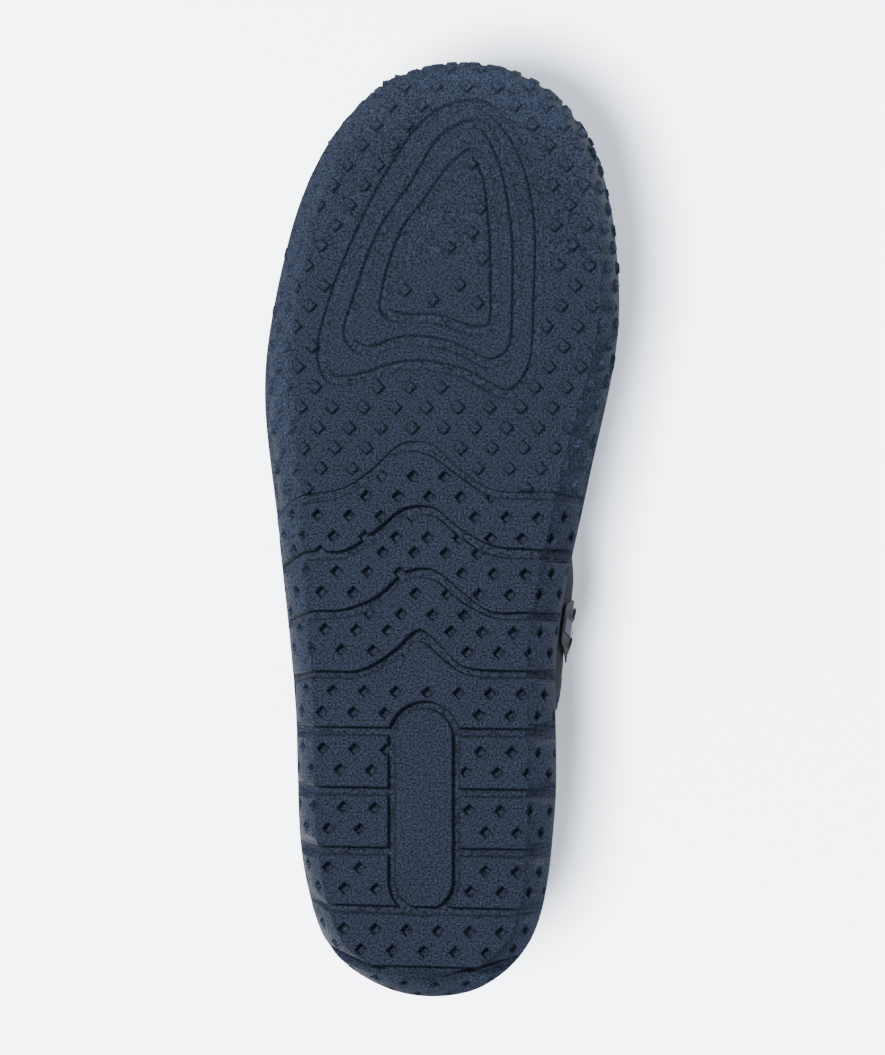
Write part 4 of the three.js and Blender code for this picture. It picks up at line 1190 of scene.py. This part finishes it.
def build_zip_puller():
    link = Blocks()
    low, high = PIVOT_W - 0.6, PIVOT_W + 0.6
    for s0, s1, h0, h1 in ((-2.9, -1.6, -7, 0.6), (1.6, 2.9, -7, 0.6), (-2.9, 2.9, -0.6, 0.6),
                           (-2.9, 2.9, -13, -5.6)):
        link.block((s0, PIVOT_H + h0, low), (s1, PIVOT_H + h1, high), 0.35, 3)
    link.finish("pull_link", SHARED["plastic"], PULLER, "zip_plastic", ["zip_pull_link"])
    grip = Blocks()
    start, half, foot = -8.5, 4.4, -32.5
    round_end = [(half * math.cos(t), foot + half + half * math.sin(t))
                 for t in np.linspace(-math.pi, 0, 15)]
    outline = [(-half * 0.8, start), *round_end, (half * 0.8, start)]
    waist = [(s, PIVOT_H + h) for s, h in outline]
    grip.plate(waist, PIVOT_W - 1.2, PIVOT_W + 1.2, 0.55, 4)
    for i in range(6):
        h = PIVOT_H - 13.5 - i * 2.5
        for side in (-1, 1):
            w = sorted((PIVOT_W + side * 0.9, PIVOT_W + side * (1.42 if side > 0 else 1.25)))
            grip.block((-2.9, h - 0.55, w[0]), (2.9, h + 0.55, w[1]), 0.26)
    grip.finish("pull_grip", SHARED["grip"], PULLER, "sole_rubber", ["zip_pull_grip"])


def build_end_tab(upper):
    outline = [(-9.5, -1.5), (-9.5, 3), (-8.5, 4), (8.5, 4), (9.5, 3), (9.5, -1.5), (6.4, -8.4), (5.4, -9),
               (-5.4, -9), (-6.4, -8.4)]
    tab = upper.layer("end_tab_cloth", 0.5, 0.95)
    combine(tab, zip_prism("cutter", outline, -15, 15), "INTERSECT")
    repaint(tab, SHARED["binding"], SHARED["binding"])
    place(soften(tab), BOOT, ["zip_end_tab"])
    # The pale sheet on the tab is a painted highlight: a lighter colour where light catches the tab.
    patch = upper.layer("end_tab_painted_highlight", 0.97, 1.2)
    pale = [(-2.2, -8.2), (2.2, -8.2), (2.4, -7.8), (2.4, 2.9), (2.2, 3.3), (-2.2, 3.3), (-2.4, 2.9),
            (-2.4, -7.8)]
    combine(patch, zip_prism("cutter", pale, -15, 15), "INTERSECT")
    repaint(patch, SHARED["tab"], SHARED["tab"])
    place(soften(patch), BOOT)
    sewing = Threads()
    for s in (-4.6, 4.6):
        line = from_zip([(s, h, 0.95) for h in np.arange(-7.4, 3.6, 0.7)])
        zigzag(sewing, line, np.tile(zip_out, (len(line), 1)), 1.3, pitch=1.7, radius=0.15, slant=0.15)
    for s in (-2.5, 2.5):
        for h in (-7.9, 3.0):
            path = from_zip([(s * 0.7, h, 1.1), (s * 0.9, h + 0.2, 1.22), (s * 1.15, h + 0.1, 1.1),
                             (s * 1.3, h, 0.9)])
            sewing.tube(path, 0.13, 5)
    edge = [(s, h, 0.95) for s, h in [(-8.3, 3.1), (8.3, 3.1)]]
    line = from_zip(spline(edge, 16))
    running(sewing, line, np.tile(zip_out, (len(line), 1)), pitch=1.9, radius=0.15)
    sewing.finish("tab_threads", SHARED["thread"], BOOT, "tab_tape")


# ------------------------------------------------------------------ heel pieces and insock
LOOP_LOW, LOOP_SEWN_LOW, LOOP_SEWN_HIGH, LOOP_HIGH = 116, 124, 146, 152
LOOP_HALF, LOOP_THICKNESS, LOOP_BOW = 8, 1.6, 11


def back_at(upper, z):
    return upper.face.on(upper.segments // 2, z, 0)[1]


def build_pull_loop(upper):
    def spot(out, z):
        return (0, back_at(upper, z) - out, z)

    half = LOOP_THICKNESS / 2
    loop = Blocks(to_world=lambda p: np.asarray(p, float))
    base = [spot(GAP + half, z) for z in np.linspace(LOOP_LOW, LOOP_HIGH, 16)]
    loop.sweep(base, (1, 0, 0), LOOP_HALF, half - 0.12, power=7, sides=20)
    middle = (LOOP_SEWN_LOW + LOOP_SEWN_HIGH) / 2
    knots = [(GAP + half + 0.4, LOOP_SEWN_LOW - 5), (GAP + half + 0.8, LOOP_SEWN_LOW + 0.4),
             (5.2, LOOP_SEWN_LOW + 2.6),
             (9.3, LOOP_SEWN_LOW + 5.4), (GAP + half + LOOP_BOW - 0.9, middle), (9.3, LOOP_SEWN_HIGH - 5.4),
             (5.2, LOOP_SEWN_HIGH - 2.6), (GAP + half + 0.8, LOOP_SEWN_HIGH - 0.4),
             (GAP + half + 0.4, LOOP_SEWN_HIGH + 4)]
    bow = [spot(out, z) for out, z in spline(knots, 6).tolist()]
    loop.sweep(bow, (1, 0, 0), LOOP_HALF - 0.15, half - 0.15, power=7, sides=20)
    loop.finish("heel_loop_webbing", SHARED["webbing"], BOOT, "binding_tape", ["heel_pull_loop"], angle=50)
    sewing = Threads()
    for low, high in ((LOOP_LOW + 1.2, LOOP_SEWN_LOW - 0.6), (LOOP_SEWN_HIGH + 0.8, LOOP_HIGH - 0.8)):
        corners = [(-6.4, low), (6.4, low), (6.4, high), (-6.4, high), (-6.4, low)]
        for (x0, z0), (x1, z1) in zip(corners[:-1], corners[1:]):
            line = [(x0 + (x1 - x0) * t, z0 + (z1 - z0) * t) for t in np.linspace(0, 1, 12)]
            out = GAP + LOOP_THICKNESS + 0.5
            spots = np.array([(x, back_at(upper, z) - out, z) for x, z in line])
            running(sewing, spots, np.tile([0, -1.0, 0], (len(spots), 1)), pitch=1.8, radius=0.2)
    sewing.finish("loop_threads", SHARED["dark_thread"], BOOT, "binding_tape")


def build_ledge(upper):
    outline = [(-170, 55), (-100, 51), (-100, 60), (-170, 60)]
    ledge = upper.layer("strap_ledge", GAP, GAP + 4.6)
    combine(ledge, prism("cutter", outline, -19, 19, side_view), "INTERSECT")
    repaint(ledge, SHARED["ledge"], SHARED["ledge"])
    bevel = ledge.modifiers.new("round", "BEVEL")
    bevel.width, bevel.segments = 0.7 * MM, 3
    bevel.limit_method, bevel.angle_limit = "ANGLE", math.radians(40)
    settle(ledge)
    place(soften(ledge, 50), BOOT, ["fin_strap_ledge"])


def build_insock(face):
    """A foam footbed with a rounded rim and a dished middle."""
    outline = inwards(face.outline, 5.6 + NEOPRENE + GAP)
    spine_x = np.interp(outline[:, 1], [-130, -80, -20, 40, 100, 130], [5, 5.4, 5.2, 0, -4, -6])
    spine = np.column_stack([spine_x, np.clip(outline[:, 1], -112, 112), np.zeros(len(outline))])
    low = SOCK_BOTTOM + 2 + GAP
    rings = [at_height(outline, low), at_height(outline, low + 2.1)]
    for share, drop in ((0.012, 0.35), (0.035, 0.08), (0.07, 0), (0.2, 0.25), (0.4, 0.8), (0.6, 1.1),
                        (0.8, 1.2), (1, 1.2)):
        ring = outline * (1 - share) + spine * share
        rings.append(at_height(ring, low + 3 - drop))
    points = np.concatenate(rings)
    count = len(outline)
    faces = strips(len(rings), count) + [tuple(range(count))[::-1]]
    obj = new_object("insock_footbed", points, faces, SHARED["foam"])
    mend(obj.data, 0.0003)
    place(soften(obj, 50), BOOT, ["insock"])


# ------------------------------------------------------------------ shader node groups and materials
def linear(red, green, blue):
    """An sRGB colour, 0 to 255, as a linear RGBA value."""
    def one(c):
        c /= 255
        return c / 12.92 if c <= 0.04045 else ((c + 0.055) / 1.055) ** 2.4
    return (one(red), one(green), one(blue), 1)


class Nodes:
    """A short way to add and join shader nodes."""

    def __init__(self, tree):
        self.tree = tree

    def add(self, kind, inputs=None, **settings):
        node = self.tree.nodes.new(kind)
        for name, value in settings.items():
            setattr(node, name, value)
        for name, value in (inputs or {}).items():
            socket = node.inputs[name]
            if isinstance(value, bpy.types.NodeSocket):
                self.tree.links.new(value, socket)
            else:
                socket.default_value = value
        return node

    def math(self, operation, a, b=0.0, clamp=False):
        return self.add("ShaderNodeMath", {0: a, 1: b}, operation=operation, use_clamp=clamp).outputs[0]

    def ramp(self, value, low, high, to_low=0.0, to_high=1.0):
        node = self.add("ShaderNodeMapRange", {"Value": value, "From Min": low, "From Max": high,
                                               "To Min": to_low, "To Max": to_high})
        return node.outputs["Result"]

    def mix(self, share, a, b):
        node = self.add("ShaderNodeMix", data_type="RGBA")
        for index, value in ((0, share), (6, a), (7, b)):
            if isinstance(value, bpy.types.NodeSocket):
                self.tree.links.new(value, node.inputs[index])
            else:
                node.inputs[index].default_value = value
        return node.outputs[2]

    def noise(self, vector, scale, detail=2.0, roughness=0.5):
        node = self.add("ShaderNodeTexNoise", {"Vector": vector, "Scale": scale, "Detail": detail,
                                               "Roughness": roughness})
        return node.outputs["Fac"]


def new_group(name, inputs, outputs):
    """A node group with float inputs (name: default) and outputs (name: socket type)."""
    tree = bpy.data.node_groups.new(name, "ShaderNodeTree")
    for label, value in inputs.items():
        kind = "NodeSocketColor" if isinstance(value, tuple) else "NodeSocketFloat"
        socket = tree.interface.new_socket(label, in_out="INPUT", socket_type=kind)
        socket.default_value = value
    for label, kind in outputs.items():
        tree.interface.new_socket(label, in_out="OUTPUT", socket_type=kind)
    nodes = Nodes(tree)
    source = nodes.add("NodeGroupInput")
    sink = nodes.add("NodeGroupOutput")
    return tree, nodes, source, sink


def grain_group():
    """Fine moulded grain: a colour that wavers, a roughness and a normal."""
    tree, n, source, sink = new_group(
        "Moulded grain",
        {"Color": (0.03, 0.04, 0.07, 1.0), "Scale": 2600.0, "Contrast": 0.3, "Bump": 0.25,
         "Roughness": 0.6},
        {"Color": "NodeSocketColor", "Roughness": "NodeSocketFloat", "Normal": "NodeSocketVector"})
    place_at = n.add("ShaderNodeTexCoord").outputs["Object"]
    fine = n.noise(place_at, source.outputs["Scale"], 3, 0.65)
    broad = n.noise(place_at, 45, 3, 0.55)
    spread = n.math("MULTIPLY", n.math("SUBTRACT", fine, 0.5), source.outputs["Contrast"])
    drift = n.math("MULTIPLY", n.math("SUBTRACT", broad, 0.5), 0.35)
    gain = n.math("ADD", n.math("ADD", n.math("MULTIPLY", spread, 4), drift), 1)
    tinted = n.add("ShaderNodeVectorMath", {0: source.outputs["Color"], "Scale": gain}, operation="SCALE")
    bump = n.add("ShaderNodeBump", {"Strength": source.outputs["Bump"], "Distance": 0.0004, "Height": fine})
    rough = n.math("ADD", source.outputs["Roughness"], n.math("MULTIPLY", drift, 0.3), clamp=True)
    n.tree.links.new(tinted.outputs[0], sink.inputs["Color"])
    n.tree.links.new(rough, sink.inputs["Roughness"])
    n.tree.links.new(bump.outputs["Normal"], sink.inputs["Normal"])
    return tree


def knit_group():
    """Fine jersey over neoprene: little ribs of loops, with lint and a broad change of shade."""
    tree, n, source, sink = new_group(
        "Jersey knit",
        {"Color": (0.01, 0.012, 0.02, 1.0), "Scale": 1100.0, "Bump": 0.5, "Roughness": 0.85},
        {"Color": "NodeSocketColor", "Roughness": "NodeSocketFloat", "Normal": "NodeSocketVector"})
    place_at = n.add("ShaderNodeTexCoord").outputs["Object"]
    cells = n.add("ShaderNodeTexVoronoi", {"Vector": place_at, "Scale": source.outputs["Scale"]},
                  feature="F1").outputs["Distance"]
    broad = n.noise(place_at, 30, 4, 0.6)
    lint = n.noise(place_at, 900, 2, 0.7)
    height = n.math("ADD", n.math("MULTIPLY", cells, -0.7), n.math("MULTIPLY", lint, 0.6))
    gain = n.math("ADD", n.ramp(cells, 0.1, 0.7, 1.15, 0.55), n.ramp(broad, 0.3, 0.7, -0.15, 0.15))
    tinted = n.add("ShaderNodeVectorMath", {0: source.outputs["Color"], "Scale": gain}, operation="SCALE")
    bump = n.add("ShaderNodeBump", {"Strength": source.outputs["Bump"], "Distance": 0.0005,
                                    "Height": height})
    rough = n.math("ADD", source.outputs["Roughness"], n.ramp(broad, 0.3, 0.7, -0.05, 0.05), clamp=True)
    n.tree.links.new(tinted.outputs[0], sink.inputs["Color"])
    n.tree.links.new(rough, sink.inputs["Roughness"])
    n.tree.links.new(bump.outputs["Normal"], sink.inputs["Normal"])
    return tree


def weave_group():
    """Narrow woven tape: crossing yarns from two wave patterns."""
    tree, n, source, sink = new_group(
        "Woven tape",
        {"Color": (0.01, 0.012, 0.02, 1.0), "Scale": 420.0, "Bump": 0.6, "Roughness": 0.75},
        {"Color": "NodeSocketColor", "Roughness": "NodeSocketFloat", "Normal": "NodeSocketVector"})
    place_at = n.add("ShaderNodeTexCoord").outputs["Object"]
    turned = n.add("ShaderNodeMapping", {"Vector": place_at, "Rotation": (0.6, 0.5, 0.75)}).outputs[0]
    yarns = [n.add("ShaderNodeTexWave", {"Vector": turned, "Scale": source.outputs["Scale"],
                                         "Distortion": 0.3},
                   bands_direction=way).outputs["Fac"] for way in ("X", "Z")]
    height = n.math("MULTIPLY", yarns[0], yarns[1])
    gain = n.ramp(height, 0, 0.8, 0.6, 1.25)
    tinted = n.add("ShaderNodeVectorMath", {0: source.outputs["Color"], "Scale": gain}, operation="SCALE")
    bump = n.add("ShaderNodeBump", {"Strength": source.outputs["Bump"], "Distance": 0.0003,
                                    "Height": height})
    n.tree.links.new(tinted.outputs[0], sink.inputs["Color"])
    n.tree.links.new(source.outputs["Roughness"], sink.inputs["Roughness"])
    n.tree.links.new(bump.outputs["Normal"], sink.inputs["Normal"])
    return tree


def surface_material(name, group, values, sheen=0.0, specular=0.5):
    """A Principled material fed by one of the shared groups."""
    material = bpy.data.materials.new(name)
    material.use_nodes = True
    material.node_tree.nodes.clear()
    n = Nodes(material.node_tree)
    effect = n.add("ShaderNodeGroup")
    effect.node_tree = group
    for label, value in values.items():
        effect.inputs[label].default_value = value
    shader = n.add("ShaderNodeBsdfPrincipled", {
        "Base Color": effect.outputs["Color"], "Roughness": effect.outputs["Roughness"],
        "Normal": effect.outputs["Normal"], "Sheen Weight": sheen, "Sheen Roughness": 0.5,
        "Specular IOR Level": specular})
    out = n.add("ShaderNodeOutputMaterial")
    n.tree.links.new(shader.outputs[0], out.inputs["Surface"])
    material.diffuse_color = values["Color"]
    return material


def make_materials():
    grain, knit, weave = grain_group(), knit_group(), weave_group()
    return {
        "rubber": surface_material("Sole rubber", grain, {"Color": linear(41, 49, 67), "Scale": 1700.0,
                                                         "Contrast": 1.6, "Bump": 0.9, "Roughness": 0.8},
                                   specular=0.22),
        "ledge": surface_material("Ledge rubber", grain, {"Color": linear(34, 43, 60), "Scale": 2400.0,
                                                         "Contrast": 0.2, "Bump": 0.25, "Roughness": 0.6}),
        "foam": surface_material("Insock foam", grain, {"Color": linear(34, 36, 42), "Scale": 1400.0,
                                                       "Contrast": 0.5, "Bump": 0.6, "Roughness": 0.95}),
        "neoprene": surface_material("Neoprene jersey", knit, {"Color": linear(20, 25, 38)}, sheen=0.03,
                                     specular=0.15),
        "lining": surface_material("Lining jersey", knit, {"Color": linear(22, 24, 30), "Scale": 900.0},
                                   sheen=0.05,
                                   specular=0.15),
        "binding": surface_material("Binding tape", weave, {"Color": linear(20, 23, 30), "Scale": 520.0},
                                    sheen=0.05),
        "tape": surface_material("Zip tape", weave, {"Color": linear(15, 17, 26), "Scale": 600.0},
                                 sheen=0.03,
                                specular=0.2),
        "webbing": surface_material("Loop webbing", weave, {"Color": linear(24, 27, 34), "Scale": 300.0,
                                                           "Bump": 0.9}),
        "plastic": surface_material("Zip plastic", grain, {"Color": linear(18, 20, 25), "Scale": 900.0,
                                                          "Contrast": 0.1, "Bump": 0.08,
                                                          "Roughness": 0.38}),
        "grip": surface_material("Grip rubber", grain, {"Color": linear(40, 49, 67), "Scale": 1800.0,
                                                       "Contrast": 0.15, "Bump": 0.15, "Roughness": 0.55}),
        # The end tab's pale colour is a painted highlight, lighter where light catches the tab.
        "tab": surface_material("End tab painted highlight", weave, {"Color": linear(58, 65, 84), "Scale": 700.0,
                                                       "Bump": 0.3, "Roughness": 0.6}),
        "thread": surface_material("Sewing thread", grain, {"Color": linear(48, 49, 72), "Scale": 3000.0,
                                                           "Contrast": 0.3, "Bump": 0.3, "Roughness": 0.6}),
        "dark_thread": surface_material("Dark thread", grain, {"Color": linear(30, 34, 44), "Scale": 3000.0,
                                                              "Contrast": 0.3, "Bump": 0.3,
                                                              "Roughness": 0.6}),
    }


# ------------------------------------------------------------------ stage
def one_sided(name, color, visible_from_front):
    """A matt surface that only shows from one side."""
    material = bpy.data.materials.new(name)
    material.use_nodes = True
    material.node_tree.nodes.clear()
    n = Nodes(material.node_tree)
    behind = n.add("ShaderNodeNewGeometry").outputs["Backfacing"]
    matt = n.add("ShaderNodeBsdfDiffuse", {"Color": color, "Roughness": 0.0})
    clear = n.add("ShaderNodeBsdfTransparent")
    first, second = (matt, clear) if visible_from_front else (clear, matt)
    mix = n.add("ShaderNodeMixShader", {0: behind, 1: first.outputs[0], 2: second.outputs[0]})
    out = n.add("ShaderNodeOutputMaterial")
    n.tree.links.new(mix.outputs[0], out.inputs["Surface"])
    return material


def stage_plane(name, half, height, material):
    mesh = bpy.data.meshes.new(name)
    corners = [(-half, -half, height), (half, -half, height), (half, half, height), (-half, half, height)]
    mesh.from_pydata(corners, [], [(0, 1, 2, 3)])
    mesh.materials.append(material)
    obj = bpy.data.objects.new(name, mesh)
    bpy.context.scene.collection.objects.link(obj)
    obj.visible_shadow = False
    return obj


def area_light(name, location, target, size, power, color=(1, 1, 1)):
    data = bpy.data.lights.new(name, "AREA")
    data.shape, data.size, data.energy, data.color = "DISK", size, power, color
    obj = bpy.data.objects.new(name, data)
    bpy.context.scene.collection.objects.link(obj)
    obj.location = location
    obj.rotation_euler = (Vector(target) - Vector(location)).to_track_quat("-Z", "Y").to_euler()
    return obj


PALE = (0.86, 0.895, 0.95, 1)


def only_for(light, obj, excluded=False):
    """The light only falls on obj, or on everything but obj."""
    group = bpy.data.collections.new(light.name + "_receivers")
    group.objects.link(obj)
    light.light_linking.receiver_collection = group
    if excluded:
        group.collection_objects[0].light_linking.link_state = "EXCLUDE"


def build_stage(settings):
    floor = stage_plane("floor", 6, 0.0, one_sided("Pale floor", PALE, True))
    backdrop = stage_plane("backdrop", 6, settings.backdrop_height, one_sided("Pale backdrop", PALE, False))
    backdrop.visible_glossy = backdrop.visible_diffuse = False
    middle = (0, 0, 0.03)
    # Below the sole, for the view that shows the tread. The backdrop has a lamp of its own.
    key = area_light("key_below", (0.68, 0.48, -1.27), middle, 0.45, 33, (1, 0.985, 0.96))
    fill = area_light("fill_below", (-0.8, -0.6, -1.25), middle, 1.4, 12, (0.92, 0.96, 1))
    for light in (key, fill):
        only_for(light, backdrop, excluded=True)
    glow = area_light("backdrop_lamp", (0.17, -0.12, -1.5), (0, 0, settings.backdrop_height), 0.24, 185,
                      (0.93, 0.965, 1))
    only_for(glow, backdrop)
    # Above the floor, for the views round the upper.
    area_light("key_above", (0.9, -0.7, 1.5), middle, 0.8, 38, (1, 0.985, 0.96))
    area_light("fill_above", (-1.2, 0.6, 1.2), middle, 1.2, 22, (0.94, 0.97, 1))
    world = bpy.data.worlds.new("Pale room")
    bpy.context.scene.world = world
    world.use_nodes = True
    world.node_tree.nodes["Background"].inputs["Color"].default_value = (0.9, 0.93, 1, 1)
    world.node_tree.nodes["Background"].inputs["Strength"].default_value = 0.35
    camera = bpy.data.cameras.new("camera")
    camera.sensor_width = 36
    camera.lens = 36 * settings.camera_distance / settings.view_height
    camera.clip_start, camera.clip_end = 0.05, 50
    eye = bpy.data.objects.new("camera", camera)
    bpy.context.scene.collection.objects.link(eye)
    eye.location = (0, 0, -settings.camera_distance)
    eye.rotation_euler = (0, math.pi, 0)
    bpy.context.scene.camera = eye
    return floor, backdrop


# ------------------------------------------------------------------ add-on: settings, operators, panel
class BootSettings(bpy.types.PropertyGroup):
    segments: bpy.props.IntProperty(
        name="Segments", description="Steps round each ring of the upper", default=288, min=96, max=480)
    camera_distance: bpy.props.FloatProperty(
        name="Camera distance", description="From the camera to the sole's underside", default=1.2,
        unit="LENGTH")
    view_height: bpy.props.FloatProperty(
        name="View height", description="Height of what the camera takes in at the sole", default=0.3168,
        unit="LENGTH")
    backdrop_height: bpy.props.FloatProperty(
        name="Backdrop height", description="Where the pale backdrop behind the boot stands", default=0.185,
        unit="LENGTH")


SHARED = {}


class BootOperator:
    bl_options = {"REGISTER", "UNDO"}

    @property
    def settings(self):
        return bpy.context.scene.boot_settings


class BOOT_OT_outsole(BootOperator, bpy.types.Operator):
    """Build the moulded cup sole with its pattern of channels, pits and studs"""
    bl_idname = "boot.outsole"
    bl_label = "Outsole"

    def execute(self, context):
        verts, faces = sole_mesh(Face(STATIONS, 6))
        sole = new_object("outsole_moulded", verts, faces, SHARED["rubber"], smooth_angle=26)
        mend(sole.data, 2e-5)
        place(sole, BOOT, ["outsole"])
        return {"FINISHED"}


class BOOT_OT_panels(BootOperator, bpy.types.Operator):
    """Build the four neoprene panels of the upper, cut from one soft shell"""
    bl_idname = "boot.panels"
    bl_label = "Neoprene panels"

    def execute(self, context):
        SHARED["upper"] = Upper(self.settings.segments)
        build_panels(SHARED["upper"])
        return {"FINISHED"}


class BOOT_OT_binding(BootOperator, bpy.types.Operator):
    """Build the tape folded over the collar"""
    bl_idname = "boot.binding"
    bl_label = "Collar binding"

    def execute(self, context):
        build_binding(SHARED["upper"])
        return {"FINISHED"}


class BOOT_OT_stitches(BootOperator, bpy.types.Operator):
    """Build the zigzag seams and the rows of stitches on the upper"""
    bl_idname = "boot.stitches"
    bl_label = "Stitches"

    def execute(self, context):
        build_stitches(SHARED["upper"])
        return {"FINISHED"}


class BOOT_OT_zip(BootOperator, bpy.types.Operator):
    """Build the fixed parts of the zip: tapes, guard, teeth and stops"""
    bl_idname = "boot.zip"
    bl_label = "Zip"

    def execute(self, context):
        build_zip_cloth(SHARED["upper"])
        build_zip_teeth()
        return {"FINISHED"}


class BOOT_OT_runner(BootOperator, bpy.types.Operator):
    """Build the zip's slider, pull link and grip"""
    bl_idname = "boot.runner"
    bl_label = "Slider and pull"

    def execute(self, context):
        build_zip_runner()
        build_zip_puller()
        return {"FINISHED"}


class BOOT_OT_tab(BootOperator, bpy.types.Operator):
    """Build the sewn tab at the zip's lower end"""
    bl_idname = "boot.tab"
    bl_label = "End tab"

    def execute(self, context):
        build_end_tab(SHARED["upper"])
        return {"FINISHED"}


class BOOT_OT_heel(BootOperator, bpy.types.Operator):
    """Build the webbing loop and the ledge for a fin strap"""
    bl_idname = "boot.heel"
    bl_label = "Heel loop and ledge"

    def execute(self, context):
        build_pull_loop(SHARED["upper"])
        build_ledge(SHARED["upper"])
        return {"FINISHED"}


class BOOT_OT_footbed(BootOperator, bpy.types.Operator):
    """Build the insock, and finish the layers under it"""
    bl_idname = "boot.footbed"
    bl_label = "Footbed"

    def execute(self, context):
        build_insock(SHARED["upper"].face)
        for name in ("midsole", "sock_board"):
            repaint(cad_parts[name], SHARED["foam"])
        return {"FINISHED"}


class BOOT_OT_stage(BootOperator, bpy.types.Operator):
    """Build the pale floor, the backdrop, the lights and the camera"""
    bl_idname = "boot.stage"
    bl_label = "Studio"

    def execute(self, context):
        build_stage(self.settings)
        return {"FINISHED"}


OPERATORS = (BOOT_OT_outsole, BOOT_OT_panels, BOOT_OT_binding, BOOT_OT_stitches, BOOT_OT_zip,
             BOOT_OT_runner,
             BOOT_OT_tab, BOOT_OT_heel, BOOT_OT_footbed, BOOT_OT_stage)


class BOOT_PT_panel(bpy.types.Panel):
    """Buttons that build the boot piece by piece"""
    bl_idname = "BOOT_PT_panel"
    bl_label = "Neoprene boot"
    bl_space_type = "VIEW_3D"
    bl_region_type = "UI"
    bl_category = "Boot"

    def draw(self, context):
        settings = context.scene.boot_settings
        for name in ("segments", "camera_distance", "view_height", "backdrop_height"):
            self.layout.prop(settings, name)
        for operator in OPERATORS:
            self.layout.operator(operator.bl_idname)


CLASSES = (BootSettings, *OPERATORS, BOOT_PT_panel)


def register():
    for cls in CLASSES:
        bpy.utils.register_class(cls)
    bpy.types.Scene.boot_settings = bpy.props.PointerProperty(type=BootSettings)


def unregister():
    del bpy.types.Scene.boot_settings
    for cls in reversed(CLASSES):
        bpy.utils.unregister_class(cls)


def main():
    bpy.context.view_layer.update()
    register()
    SHARED.update(make_materials())
    for operator in OPERATORS:
        group, name = operator.bl_idname.split(".")
        getattr(getattr(bpy.ops, group), name)()


if __name__ == "__main__":
    main()
